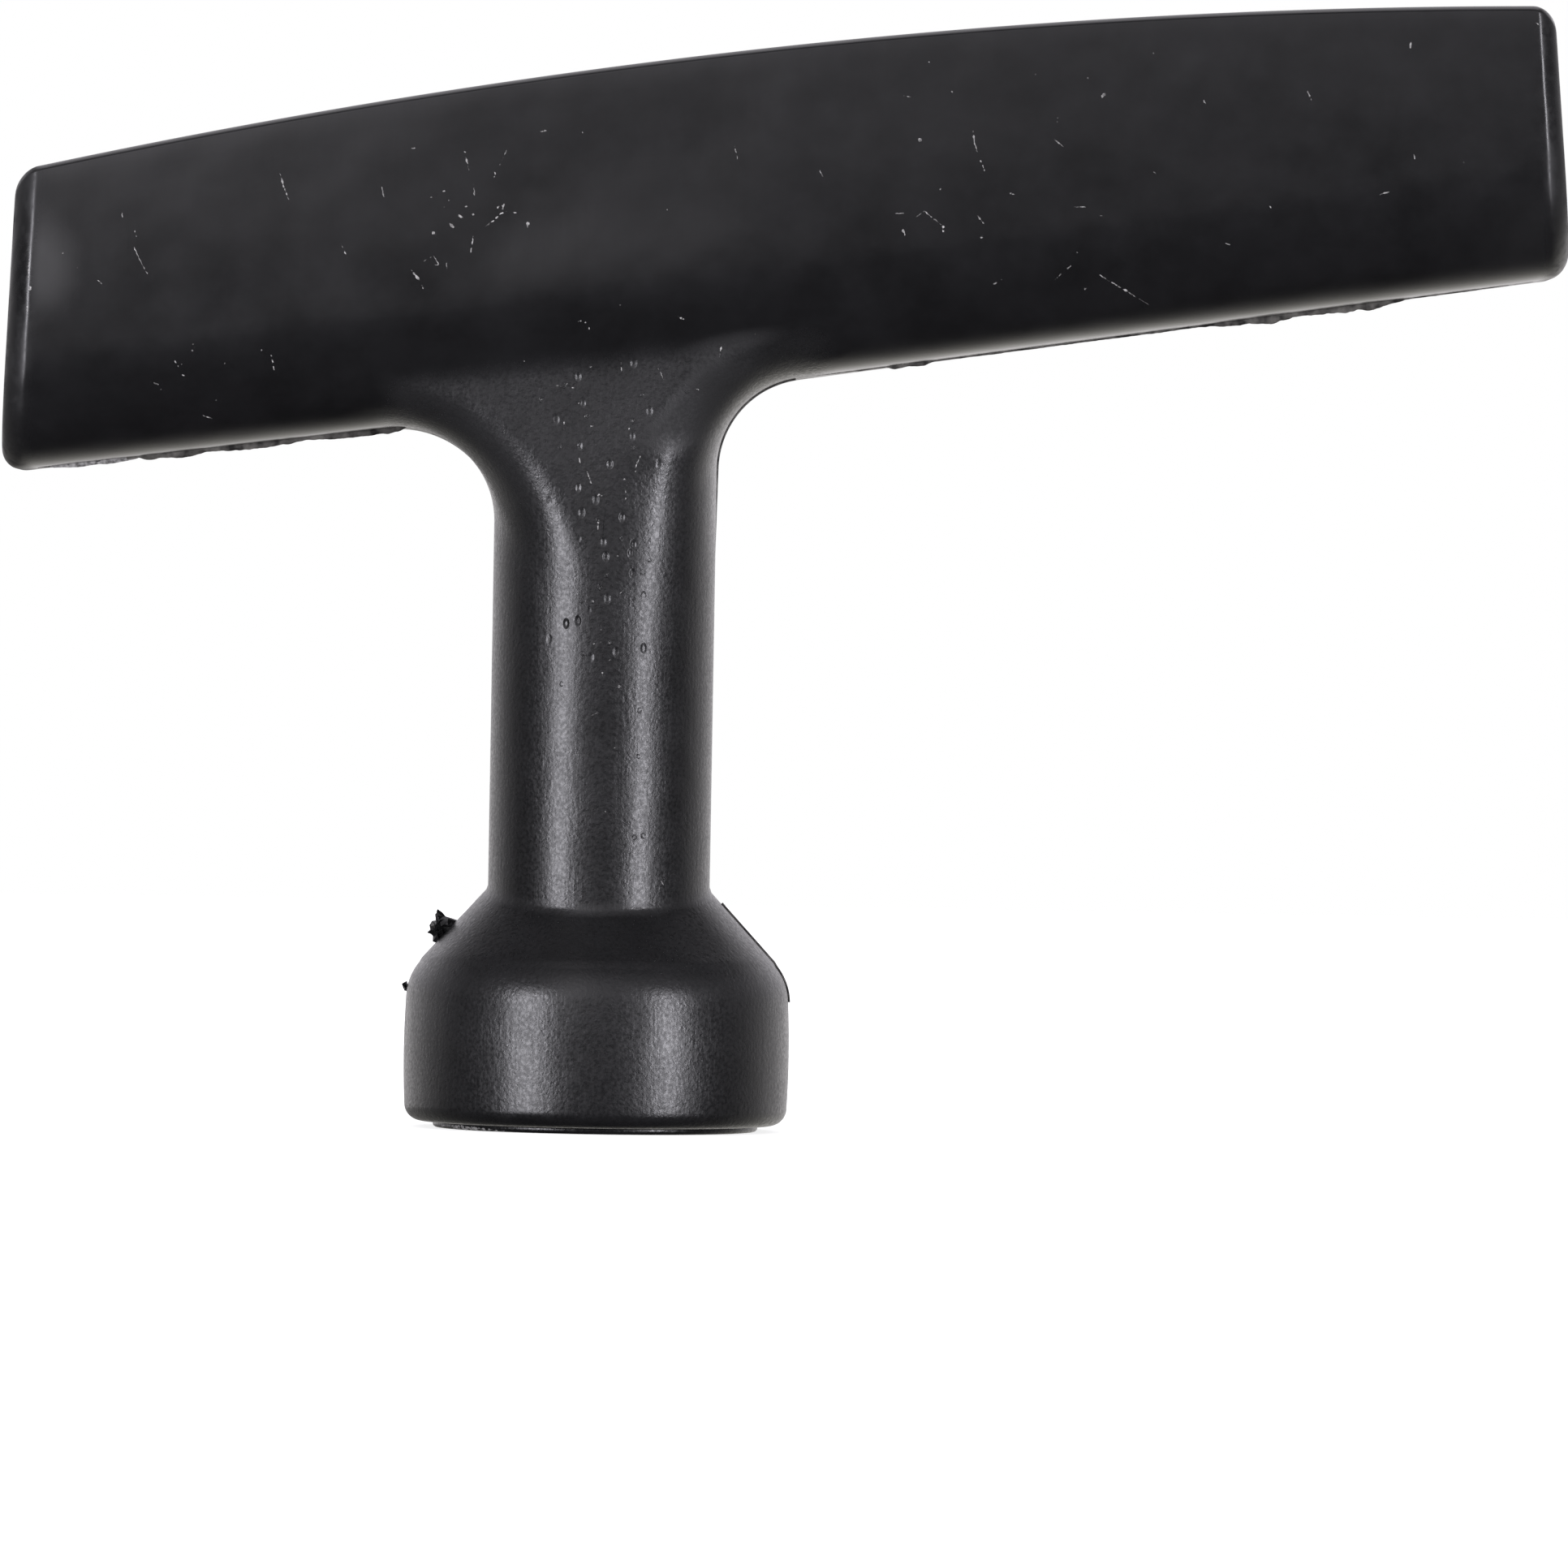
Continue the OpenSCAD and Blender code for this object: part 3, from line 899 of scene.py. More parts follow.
def two_tones(tree, value, dark_at, dark, light_at, light):
    """From a dark colour to a light one, as the value goes from one place to the other."""
    made = node(tree, "ShaderNodeValToRGB")
    for stop, at, tone in zip(made.color_ramp.elements, (dark_at, light_at), (dark, light)):
        stop.position, stop.color = at, (*tone, 1)
    wire(tree, (value, made.inputs["Fac"]))
    return made.outputs["Color"]


def bump(tree, height, distance, strength, under=None):
    """Dents and ridges of this depth in metres, on top of the ones given as under."""
    made = node(tree, "ShaderNodeBump", Distance=distance)
    give(tree, strength, made.inputs["Strength"])
    give(tree, under, made.inputs["Normal"])
    wire(tree, (height, made.inputs["Height"]))
    return made.outputs["Normal"]


print("Helpers for patterns ready")

# %% A number that changes along a length
def ramp(tree, value, stops, low=None, high=None):
    """Pairs of place and number, straight between them; low and high are the ramp's ends."""
    low = stops[0][0] if low is None else low
    high = stops[-1][0] if high is None else high
    made = node(tree, "ShaderNodeValToRGB")
    while len(made.color_ramp.elements) < len(stops):
        made.color_ramp.elements.new(0.5)
    for stop, (at, size) in zip(made.color_ramp.elements, stops):
        stop.position, stop.color = (at - low) / (high - low), (size, size, size, 1)
    wire(tree, (change(tree, value, low, high), made.inputs["Fac"]))
    return made.outputs["Color"]


def mix_colours(tree, **settings):
    """A Mix node for colours, its two colour inputs and its output."""
    mix = node(tree, "ShaderNodeMix", data_type="RGBA", **settings)
    first, second = [s for s in mix.inputs if s.type == "RGBA"]
    return mix, first, second, next(s for s in mix.outputs if s.type == "RGBA")


print("Helpers for ramps and mixes ready")

# %% Black moulded plastic
plastic, tree, shader = new_material("black_plastic")
shader.inputs["IOR"].default_value = 1.5
here = node(tree, "ShaderNodeTexCoord").outputs["Object"]
place_of = node(tree, "ShaderNodeSeparateXYZ")
wire(tree, (here, place_of.inputs[0]))
length_of, height_of = place_of.outputs["X"], place_of.outputs["Z"]
from_axis = math_node(tree, "ABSOLUTE", length_of)
haze = noise(tree, here, 210.0, 6.0, 0.66)
tint = two_tones(tree, haze, 0.35, (0.0068, 0.0068, 0.0072), 0.75, (0.0112, 0.0112, 0.0120))
gloss = change(tree, haze, 0.3, 0.75, 0.215, 0.265)
print("The haze covers the whole handle")

# %% The rougher skin below the line over the root
over_line = minus(tree, height_of, times(tree, length_of, line_slope))
drawn = times(tree, soft_change(tree, over_line, 0.0482, 0.0500, 1.0, 0.0),
              soft_change(tree, from_axis, 0.0125, 0.0150, 1.0, 0.0))
mottle = change(tree, noise(tree, here, 4600.0, 1.5, 0.55), 0.34, 0.64, 0.02, 0.15)
finish = plus(tree, gloss, times(tree, drawn, mottle))
print("The stem and the bell are rougher than the grip")

# %% [markdown]
# ## Worn end edges
# The edges round the end walls have been knocked and rubbed, so the thin highlight down each
# edge fades at some heights and breaks up at nicks. A mask finds the edges by the distance
# from a plane that leans with the end wall, and a ramp over the height says how worn they are.
# Wear is only a loss of gloss here, because the dents are too small to show as shapes.

# %% Where the two ends are
def end_mask(stands_at, turned, slope):
    """1 on an end wall and its rounded edge, 0 on the sides of the grip."""
    leant = minus(tree, times(tree, length_of, turned), times(tree, height_of, slope))
    return soft_change(tree, plus(tree, leant, stands_at), -0.0005, 0.0006, 1.0, 0.0)


short_end = end_mask(0.03862, 1.0, tan(lean_short))
long_end = end_mask(0.06440, -1.0, tan(lean_long))
at_end = larger(tree, short_end, long_end)
print("The ends are masked")

# %% Wear and nicks
worn_short = ramp(tree, height_of, [(0.045, 0.20), (0.0495, 0.18), (0.0515, 0.07), (0.0530, 0.0),
                                    (0.0555, 0.0), (0.0565, 0.10), (0.0590, 0.20), (0.0630, 0.24)])
worn_long = ramp(tree, height_of, [(0.055, 0.10), (0.0600, 0.25), (0.0625, 0.20), (0.0640, 0.06),
                                   (0.0657, 0.02), (0.0700, 0.0)])
nicks = change(tree, noise(tree, here, 1500.0, 3.0, 0.7), 0.45, 0.70, 0.0, 0.16)
worn = plus(tree, times(tree, short_end, worn_short), times(tree, long_end, worn_long))
worn = plus(tree, worn, times(tree, nicks, at_end))
print("The end edges are worn")

# %% [markdown]
# ## Dull and sleek places, and painted sheen
# The root's gloss isn't even. At its top right there is a dull patch, which leans with the
# root's edge, and lower down the skin is a little sleeker. The front of the root is also painted
# paler, a painted sheen where it would catch light. Three soft patches of painted highlight lie by
# the ends of the grip and over the root. All of them are ramps and ellipses laid on the handle as it is seen
# from the front.

# %% The dull and the sleek part of the root
along_root = minus(tree, length_of, times(tree, height_of, 0.75))
faded = times(tree, ramp(tree, height_of, [(0.0428, 0.0), (0.0446, 1.0), (0.0485, 1.0), (0.0498, 0.0)]),
              ramp(tree, along_root, [(-0.03120, 0.0), (-0.02980, 1.0), (-0.02760, 1.0), (-0.02640, 0.0)]))
sleek = ramp(tree, height_of, [(0.0360, 0.0), (0.0390, 0.035), (0.0425, 0.035), (0.0440, 0.0)])
uneven = plus(tree, worn, times(tree, faded, 0.36))
uneven = minus(tree, uneven, times(tree, sleek, drawn))
wire(tree, (plus(tree, finish, uneven), shader.inputs["Roughness"]))
print("The root's gloss is uneven")

# %% A soft patch of painted highlight
flat_place = node(tree, "ShaderNodeCombineXYZ")
wire(tree, (length_of, flat_place.inputs["X"]), (height_of, flat_place.inputs["Z"]))


def sheen_ellipse(x, z, long, high, turn, strength):
    """An ellipse round a place seen from the front, sizes in millimetres, turn in degrees."""
    lay = node(tree, "ShaderNodeMapping", vector_type="TEXTURE")
    lay.inputs["Location"].default_value = (x * MM, 0, z * MM)
    lay.inputs["Rotation"].default_value = (0, math.radians(-turn), 0)
    lay.inputs["Scale"].default_value = (long * MM, 1, high * MM)
    away = node(tree, "ShaderNodeVectorMath", operation="LENGTH")
    wire(tree, (flat_place.outputs[0], lay.inputs["Vector"]), (lay.outputs[0], away.inputs[0]))
    return soft_change(tree, away.outputs["Value"], 0.15, 1.0, strength, 0.0)


# Painted highlights: the lamps' glow beside each end edge, and a crease highlight over the root.
painted_highlight_patches = ((-35.7, 54.2, 3.1, 4.3, 0, 0.034),       # beside the short end's edge
           (59.0, 57.4, 5.0, 4.5, 0, 0.0050),       # low down beside the long end's edge
           (7.9, 50.1, 4.2, 0.95, 13, 0.013))       # over the right side of the root
print(len(painted_highlight_patches), "pale patches")

# %% The colour, with painted sheen and painted highlights
# Painted sheen: the front of the root is lightened up its height, less where it is dull.
painted_sheen = times(tree, drawn, ramp(tree, height_of, [(0.026, 0.0), (0.035, 0.001), (0.040, 0.0090),
                                                   (0.0435, 0.0105), (0.047, 0.006), (0.050, 0.004)]))
painted_sheen = times(tree, painted_sheen, minus(tree, 1.0, times(tree, faded, 0.85)))
for patch in painted_highlight_patches:
    painted_sheen = plus(tree, painted_sheen, times(tree, sheen_ellipse(*patch), minus(tree, 1.0, at_end)))
# The painted sheen and highlights are added to the plastic's own colour.
lighter, under_colour, over_colour, mixed = mix_colours(tree, blend_type="ADD")
lighter.inputs["Factor"].default_value = 1.0
wire(tree, (tint, under_colour), (painted_sheen, over_colour), (mixed, shader.inputs["Base Color"]))
print("The plastic's colour is set")

# %% [markdown]
# ## Grain, drag lines and pits
# The rough skin of the stem and the bell is a fine mottle of gloss with a bump of grain, which
# breaks the two streaks of light into sparkles. The same grain is far weaker on the polished
# grip. Lines run along the stem, and the front of the stem has pits where gas burned the
# plastic as it filled the mould: about every second cell of a cell pattern gets a round dent.

# %% Swell, grain and drag lines
swell = bump(tree, noise(tree, here, 110.0, 2.0), 1.5e-4, 1.0)
rough = change(tree, drawn, 0.0, 1.0, 0.05, 0.75)
patchy = change(tree, noise(tree, here, 420.0, 2.0), 0.3, 0.7, 0.45, 1.25)
grain = bump(tree, noise(tree, here, 3700.0, 2.5, 0.6), 3.5e-5, times(tree, rough, patchy), swell)
lines = noise(tree, stretched(tree, here, (2600.0, 2600.0, 160.0)), 1.0, 3.0, 0.6)
drag = bump(tree, lines, 1.6e-5, change(tree, drawn, 0.0, 1.0, 0.18, 0.7), grain)
print("Grain and drag lines set")

# %% Burnt pits
cells = node(tree, "ShaderNodeTexVoronoi", Scale=1.0)
which = node(tree, "ShaderNodeSeparateColor")
wire(tree, (stretched(tree, here, (1150.0, 1150.0, 700.0)), cells.inputs["Vector"]),
     (cells.outputs["Color"], which.inputs[0]))
some = math_node(tree, "LESS_THAN", which.outputs[0], 0.5)
column = soft_change(tree, from_axis, 0.0022, 0.0040, 1.0, 0.0)
upper = soft_change(tree, height_of, 0.026, 0.033)
where = times(tree, times(tree, column, drawn), times(tree, upper, some))
hole = minus(tree, 1.0, soft_change(tree, cells.outputs["Distance"], 0.08, 0.28))
pitted = bump(tree, minus(tree, 1.0, times(tree, where, hole)), 7e-5, 1.0, drag)
wire(tree, (pitted, shader.inputs["Normal"]))
shell_mesh.materials.append(plastic)
shell_mesh.set_sharp_from_angle(angle=math.radians(30))
print("Material", plastic.name, "has", len(tree.nodes), "nodes")

# %% [markdown]
# ## Flash on the parting line
# The two halves of the mould met in the middle of the handle. Plastic squeezed between them
# and left a paper-thin ragged skirt, worst under the shorter arm. It follows a path and its
# height follows no plan, so Geometry Nodes make it: a line along the parting plane is
# extruded outwards by a seeded noise, leant a little to one side, and given a thickness.

# %% Helpers for Geometry Nodes
def new_tree(name, inputs):
    tree = bpy.data.node_groups.new(name, "GeometryNodeTree")
    tree.interface.new_socket("Geometry", in_out="OUTPUT", socket_type="NodeSocketGeometry")
    tree.interface.new_socket("Geometry", in_out="INPUT", socket_type="NodeSocketGeometry")
    kinds = {"f": "NodeSocketFloat", "m": "NodeSocketMaterial"}
    for label, kind in inputs:
        tree.interface.new_socket(label, in_out="INPUT", socket_type=kinds[kind])
    return tree, node(tree, "NodeGroupInput"), node(tree, "NodeGroupOutput")


def read(tree, name, kind="FLOAT"):
    return node(tree, "GeometryNodeInputNamedAttribute", data_type=kind, Name=name).outputs["Attribute"]


def keep(tree, geometry, name, value, kind="FLOAT"):
    """Store a value on the points under a name; gives the geometry and the node."""
    made = node(tree, "GeometryNodeStoreNamedAttribute", data_type=kind, domain="POINT", Name=name)
    wire(tree, (geometry, made.inputs["Geometry"]))
    give(tree, value, made.inputs["Value"])
    return made.outputs["Geometry"], made


def end_tree(tree, given, result, shape):
    real = node(tree, "GeometryNodeRealizeInstances")
    paint = node(tree, "GeometryNodeSetMaterial")
    wire(tree, (shape, real.inputs["Geometry"]), (real.outputs[0], paint.inputs["Geometry"]),
         (given.outputs["Finish"], paint.inputs["Material"]), (paint.outputs[0], result.inputs[0]))


print("Helpers for Geometry Nodes ready")

# %% A ragged skirt out of a line
def seeded_noise(tree, given, spot, scale, detail, roughness):
    """A noise about 0 that the tree's seed shifts."""
    made = node(tree, "ShaderNodeTexNoise", noise_dimensions="4D", Detail=detail, Roughness=roughness)
    wire(tree, (spot, made.inputs["Vector"]), (given.outputs["Seed"], made.inputs["W"]),
         (scale, made.inputs["Scale"]))
    return minus(tree, made.outputs["Fac"], 0.5)


def raised(tree, given, spot, shape):
    """Extrude the line twice, along its way out and by a ragged share of its height."""
    rag = seeded_noise(tree, given, spot, given.outputs["Grain"], 4.0, 0.7)
    height = plus(tree, times(tree, rag, given.outputs["Raggedness"]), 1.0)
    height = times(tree, larger(tree, height, 0.08), read(tree, "tall"))
    step = node(tree, "ShaderNodeVectorMath", operation="SCALE")
    wire(tree, (read(tree, "out", "FLOAT_VECTOR"), step.inputs[0]),
         (times(tree, height, 0.5), step.inputs["Scale"]))
    shape, _ = keep(tree, shape, "reach", 0.0)
    top = None
    for level in (0.5, 1.0):
        rise = node(tree, "GeometryNodeExtrudeMesh", mode="EDGES", Offset_Scale=1.0)
        wire(tree, (shape, rise.inputs["Mesh"]), (step.outputs[0], rise.inputs["Offset"]))
        give(tree, top, rise.inputs["Selection"])
        top = rise.outputs["Top"]
        shape, store = keep(tree, rise.outputs["Mesh"], "reach", level)
        wire(tree, (top, store.inputs["Selection"]))
    return shape


print("The skirt can be raised")

# %% Lean it, and give it a thickness
def leant_aside(tree, given, spot, shape):
    """Move the skirt aside by a slow noise, most at its free edge."""
    wave = seeded_noise(tree, given, spot, times(tree, given.outputs["Grain"], 0.4), 1.0, 0.5)
    lean = times(tree, times(tree, wave, given.outputs["Lean"]), read(tree, "reach"))
    aside = node(tree, "ShaderNodeCombineXYZ")
    bend = node(tree, "GeometryNodeSetPosition")
    wire(tree, (lean, aside.inputs["Y"]), (shape, bend.inputs["Geometry"]),
         (aside.outputs[0], bend.inputs["Offset"]))
    return bend.outputs["Geometry"]


def thickened(tree, given, shape, split):
    """Extrude the skirt across the parting plane, flip its old side and weld the two."""
    across = node(tree, "ShaderNodeCombineXYZ")
    thick = node(tree, "GeometryNodeExtrudeMesh", mode="FACES", Individual=False, Offset_Scale=1.0)
    back = node(tree, "GeometryNodeFlipFaces")
    both = node(tree, "GeometryNodeJoinGeometry")
    weld = node(tree, "GeometryNodeMergeByDistance", Distance=1e-6)
    shape, _ = keep(tree, shape, "mid_y", split.outputs["Y"])
    wire(tree, (given.outputs["Thickness"], across.inputs["Y"]), (shape, thick.inputs["Mesh"]),
         (across.outputs[0], thick.inputs["Offset"]), (shape, back.inputs["Mesh"]),
         (thick.outputs["Mesh"], both.inputs["Geometry"]), (back.outputs["Mesh"], both.inputs["Geometry"]),
         (both.outputs[0], weld.inputs["Geometry"]))
    return weld.outputs[0]


def tapered(tree, given, shape, split):
    """Thin the skirt to a fifth towards its free edge, evenly about its middle."""
    side = minus(tree, split.outputs["Y"], read(tree, "mid_y"))
    side = minus(tree, side, times(tree, given.outputs["Thickness"], 0.5))
    share = minus(tree, 1.0, times(tree, read(tree, "reach"), 0.8))
    place_at = node(tree, "ShaderNodeCombineXYZ")
    taper = node(tree, "GeometryNodeSetPosition")
    wire(tree, (split.outputs["X"], place_at.inputs["X"]), (split.outputs["Z"], place_at.inputs["Z"]),
         (plus(tree, read(tree, "mid_y"), times(tree, side, share)), place_at.inputs["Y"]),
         (shape, taper.inputs["Geometry"]), (place_at.outputs[0], taper.inputs["Position"]))
    return taper.outputs[0]


print("The skirt can be leant, thickened and tapered")

# %% The flash tree
def flash_tree():
    tree, given, result = new_tree("mould flash", [
        ("Thickness", "f"), ("Raggedness", "f"), ("Grain", "f"), ("Lean", "f"),
        ("Seed", "f"), ("Finish", "m")])
    spot = node(tree, "GeometryNodeInputPosition").outputs[0]
    split = node(tree, "ShaderNodeSeparateXYZ")
    wire(tree, (spot, split.inputs[0]))
    shape = raised(tree, given, spot, given.outputs["Geometry"])
    shape = leant_aside(tree, given, spot, shape)
    shape = thickened(tree, given, shape, split)
    end_tree(tree, given, result, tapered(tree, given, shape, split))
    return tree


flash_nodes = flash_tree()
print("The flash tree has", len(flash_nodes.nodes), "nodes")

# %% [markdown]
# A modifier's inputs are set before the object is first evaluated. The result is then taken
# as a plain mesh, so the finished piece carries no modifier and no loose instances.

# %% Run a tree and keep its result
def grow(name, mesh, tree, values):
    seed_piece = put_in_scene(name + "_seed", mesh)
    modifier = seed_piece.modifiers.new("nodes", "NODES")
    modifier.node_group = tree
    for item in tree.interface.items_tree:
        if item.in_out == "INPUT" and item.name in values:
            modifier[item.identifier] = values[item.name]
    seen = seed_piece.evaluated_get(bpy.context.evaluated_depsgraph_get())
    made = bpy.data.meshes.new_from_object(seen)
    seed_piece.modifiers.remove(modifier)
    bpy.data.objects.remove(seed_piece)
    made.name = name
    print(name, "has", len(made.polygons), "faces")
    return put_in_scene(name, made)


print("A tree's result can be kept as a piece")

# %% [markdown]
# Each piece of flash starts as a line of points in the parting plane. A point carries the way
# out of the plastic and how tall the flash stands there. The line itself is buried a little,
# so that the flash grows out of the skin. Under the arms the heights are listed, and
# the shorter lines rise and die away in one hump.

# %% A line that carries its way out and its height
path_step, buried = 0.12, 0.12


def path_mesh(name, pts, out, tall):
    mesh = bpy.data.meshes.new(name)
    mesh.from_pydata([tuple(c * MM for c in p) for p in pts - out * buried],
                     [(k, k + 1) for k in range(len(pts) - 1)], [])
    way = mesh.attributes.new("out", "FLOAT_VECTOR", "POINT")
    way.data.foreach_set("vector", np.array(out, float).ravel())
    size = mesh.attributes.new("tall", "FLOAT", "POINT")
    size.data.foreach_set("value", np.array(tall + buried, float) * MM)
    return mesh


def hump(n):
    return np.sin(np.pi * np.arange(n) / (n - 1)) ** 0.4


print("A line has a point every", path_step, "mm")

# %% Lines along the grip and round a corner
def underside_path(name, knots):
    x = np.arange(knots[0][0], knots[-1][0], path_step)
    tall = np.interp(x, [k[0] for k in knots], [k[1] for k in knots])
    slope = np.where(x < 0, tan(slope_short), tan(slope_long))
    out = np.column_stack([slope, np.zeros(len(x)), -np.ones(len(x))]) / np.sqrt(1 + slope**2)[:, None]
    return path_mesh(name, np.column_stack([x, np.zeros(len(x)), under_z(x)]), out, tall)


def corner_path(name, pts, tall):
    """A path in the parting plane with the air on its right-hand side as it goes."""
    pts = np.array(pts, float)
    along = np.concatenate([[0], np.cumsum(np.hypot(*np.diff(pts, axis=0).T))])
    at = np.arange(0, along[-1], path_step)
    x, z = np.interp(at, along, pts[:, 0]), np.interp(at, along, pts[:, 1])
    way = np.column_stack([np.gradient(x), np.gradient(z)])
    way /= np.linalg.norm(way, axis=1)[:, None]
    out = np.column_stack([way[:, 1], np.zeros(len(x)), -way[:, 0]])
    return path_mesh(name, np.column_stack([x, np.zeros(len(x)), z]), out, tall * hump(len(x)))


def level_path(name, x, z, out_z, tall):
    """A path at the height of the grip's rim or underside, with the air above or below it."""
    n = len(x)
    out = np.column_stack([np.zeros(n), np.zeros(n), np.full(n, float(out_z))])
    return path_mesh(name, np.column_stack([x, np.zeros(n), z]), out, tall * hump(n))


print("Three kinds of line ready")

# %% Plastic thin enough to let light through
thin, tree, shader = new_material("thin_plastic")
shader.inputs["IOR"].default_value = 1.5
shader.inputs["Roughness"].default_value = 0.5
here = node(tree, "ShaderNodeTexCoord").outputs["Object"]
wire(tree, (two_tones(tree, noise(tree, here, 1100.0, 3.0), 0.36, (0.014, 0.013, 0.012),
                      0.66, (0.150, 0.145, 0.132)), shader.inputs["Base Color"]))
print("Material", thin.name, "has", len(tree.nodes), "nodes")

# %% Flash under the two arms
common = {"Thickness": 0.16 * MM, "Raggedness": 1.6, "Grain": 900.0, "Lean": 0.3 * MM, "Finish": thin}
straight = {**common, "Lean": 0.1 * MM}
under_short = [(-30.2, 0.0), (-29.4, 0.30), (-27.0, 0.38), (-25.6, 0.20), (-24.0, 0.34), (-21.0, 0.36),
               (-19.3, 0.22), (-16.6, 0.36), (-13.4, 0.34), (-12.6, 0.0)]
under_long = [(17.6, 0.0), (18.2, 0.20), (20.2, 0.22), (21.0, 0.05), (24.0, 0.10), (38.0, 0.12),
              (40.0, 0.30), (42.5, 0.45), (44.0, 0.26), (46.5, 0.36), (48.6, 0.46), (50.0, 0.2), (52.0, 0.0)]
pieces = [handle]
pieces.append(grow("flash_short_arm", underside_path("short_path", under_short), flash_nodes,
                   {**common, "Seed": 3.0}))
pieces.append(grow("flash_long_arm", underside_path("long_path", under_long), flash_nodes,
                   {**common, "Seed": 8.0}))
print("Flash under both arms")

# %% Flash on the right of the root and down the stem
right_wall = ball_z[np.argmax(np.where(rib, px[base], -99))]
arc = [(stem_r - 0.12, right_wall - 5.5)]
arc += [(stem_r + root_r * (1 - math.cos(a)), right_wall + root_r * math.sin(a))
        for a in np.radians(np.linspace(2, 80, 40))]
pieces.append(grow("flash_root", corner_path("root_path", arc[::-1], 0.11), flash_nodes,
                   {**straight, "Seed": 11.0}))
print(len(pieces), "pieces so far")

# %% [markdown]
# ## Placing what the picture shows
# Scuffs and crumbs sit where the camera sees them. A ray from the camera through a place in
# the picture finds the point of the skin it falls on, and the way the skin faces there.
# The camera's place and turn are set here, because both the rays and the camera use them.

# %% From the picture to the skin
eye = Vector((0.01173, -0.650, 0.02230))
eye_turn = Matrix.Rotation(math.radians(90), 4, "X") @ Matrix.Rotation(math.radians(0.98), 4, "Z")
picture_px, picture_mm, eye_mm = 1932, 100.44, 650
skin = BVHTree.FromPolygons([v.co for v in shell_mesh.vertices],
                            [tuple(p.vertices) for p in shell_mesh.polygons])


def ray_through(x, y):
    half, size = picture_px / 2, picture_mm / picture_px
    return (eye_turn.to_3x3() @ Vector(((x - half) * size, (half - y) * size, -eye_mm))).normalized()


def on_skin(x, y):
    spot, facing, _, _ = skin.ray_cast(eye, ray_through(x, y))
    return spot, facing


def on_middle(x, y):
    """The point of the parting plane seen at a place in the picture, in mm."""
    ray = ray_through(x, y)
    return (eye - ray * (eye.y / ray.y)) / MM


def edge_at(z):
    """How far the skin reaches to the right in the parting plane at a height z, in mm."""
    spot, _, _, _ = skin.ray_cast(Vector((0.1, 0, z * MM)), Vector((-1, 0, 0)))
    return spot.x / MM


print("The stem's front is", round(-on_skin(738, 900)[0].y / MM, 2), "mm from the middle")

# %% Flash on the cone
cone_line = [(edge_at(z), z) for z in np.arange(8.2, 14.6, path_step)[::-1]]
pieces.append(grow("flash_cone", corner_path("cone_path", cone_line, 0.10), flash_nodes,
                   {**straight, "Seed": 14.0}))

# %% [markdown]
# ## Scuffs and painted glints
# Pale dots and short scratches mark the side of the grip, where the black skin was torn and
# the plastic shows white stress. Their pale colour is also a painted highlight for the glints on them.
# Each is a low ridge of torn plastic. Geometry Nodes sweep
# a small ring along its line, make its width uneven, and press the tube flat on the skin.

# %% Sweep a ring along a line
def swept(tree, given, spot):
    """A tube round each line, with its middle line stored on its points."""
    line = node(tree, "GeometryNodeMeshToCurve")
    rag = node(tree, "ShaderNodeTexNoise", Detail=2.0)
    wire(tree, (given.outputs["Geometry"], line.inputs["Mesh"]), (spot, rag.inputs["Vector"]),
         (given.outputs["Grain"], rag.inputs["Scale"]))
    swing = times(tree, minus(tree, rag.outputs["Fac"], 0.5), given.outputs["Raggedness"])
    wide = times(tree, read(tree, "wide"), plus(tree, swing, 1.0))
    shape, _ = keep(tree, line.outputs["Curve"], "middle", spot, "FLOAT_VECTOR")
    radius = node(tree, "GeometryNodeSetCurveRadius")
    ring = node(tree, "GeometryNodeCurvePrimitiveCircle", Resolution=7, Radius=1.0)
    sweep = node(tree, "GeometryNodeCurveToMesh", Fill_Caps=True)
    wire(tree, (shape, radius.inputs["Curve"]), (wide, radius.inputs["Radius"]),
         (radius.outputs["Curve"], sweep.inputs["Curve"]),
         (ring.outputs["Curve"], sweep.inputs["Profile Curve"]),
         (node(tree, "GeometryNodeInputRadius").outputs[0], sweep.inputs["Scale"]))
    return sweep.outputs["Mesh"]


print("A ring can be swept")

# %% The scuff tree
def scuff_tree():
    tree, given, result = new_tree("scuffs_and_glints", [
        ("Flatness", "f"), ("Raggedness", "f"), ("Grain", "f"), ("Finish", "m")])
    spot = node(tree, "GeometryNodeInputPosition").outputs[0]
    away = node(tree, "ShaderNodeVectorMath", operation="SUBTRACT")
    height = node(tree, "ShaderNodeVectorMath", operation="DOT_PRODUCT")
    back = node(tree, "ShaderNodeVectorMath", operation="SCALE")
    up = read(tree, "up", "FLOAT_VECTOR")
    press = node(tree, "GeometryNodeSetPosition")
    wire(tree, (spot, away.inputs[0]), (read(tree, "middle", "FLOAT_VECTOR"), away.inputs[1]),
         (away.outputs[0], height.inputs[0]), (up, height.inputs[1]), (up, back.inputs[0]),
         (swept(tree, given, spot), press.inputs["Geometry"]), (back.outputs[0], press.inputs["Offset"]))
    lower = times(tree, height.outputs["Value"], given.outputs["Flatness"])
    wire(tree, (times(tree, lower, -1.0), back.inputs["Scale"]))
    end_tree(tree, given, result, press.outputs["Geometry"])
    return tree


scuff_nodes = scuff_tree()
print("The scuff tree has", len(scuff_nodes.nodes), "nodes")

# %% Pale torn plastic, also a painted highlight for glints
pale_scuff_and_glint, tree, shader = new_material("pale_scuff_and_glint_plastic")
shader.inputs["IOR"].default_value = 1.5
here = node(tree, "ShaderNodeTexCoord").outputs["Object"]
scuff_and_glint_mottle = noise(tree, here, 3500.0, 2.0)
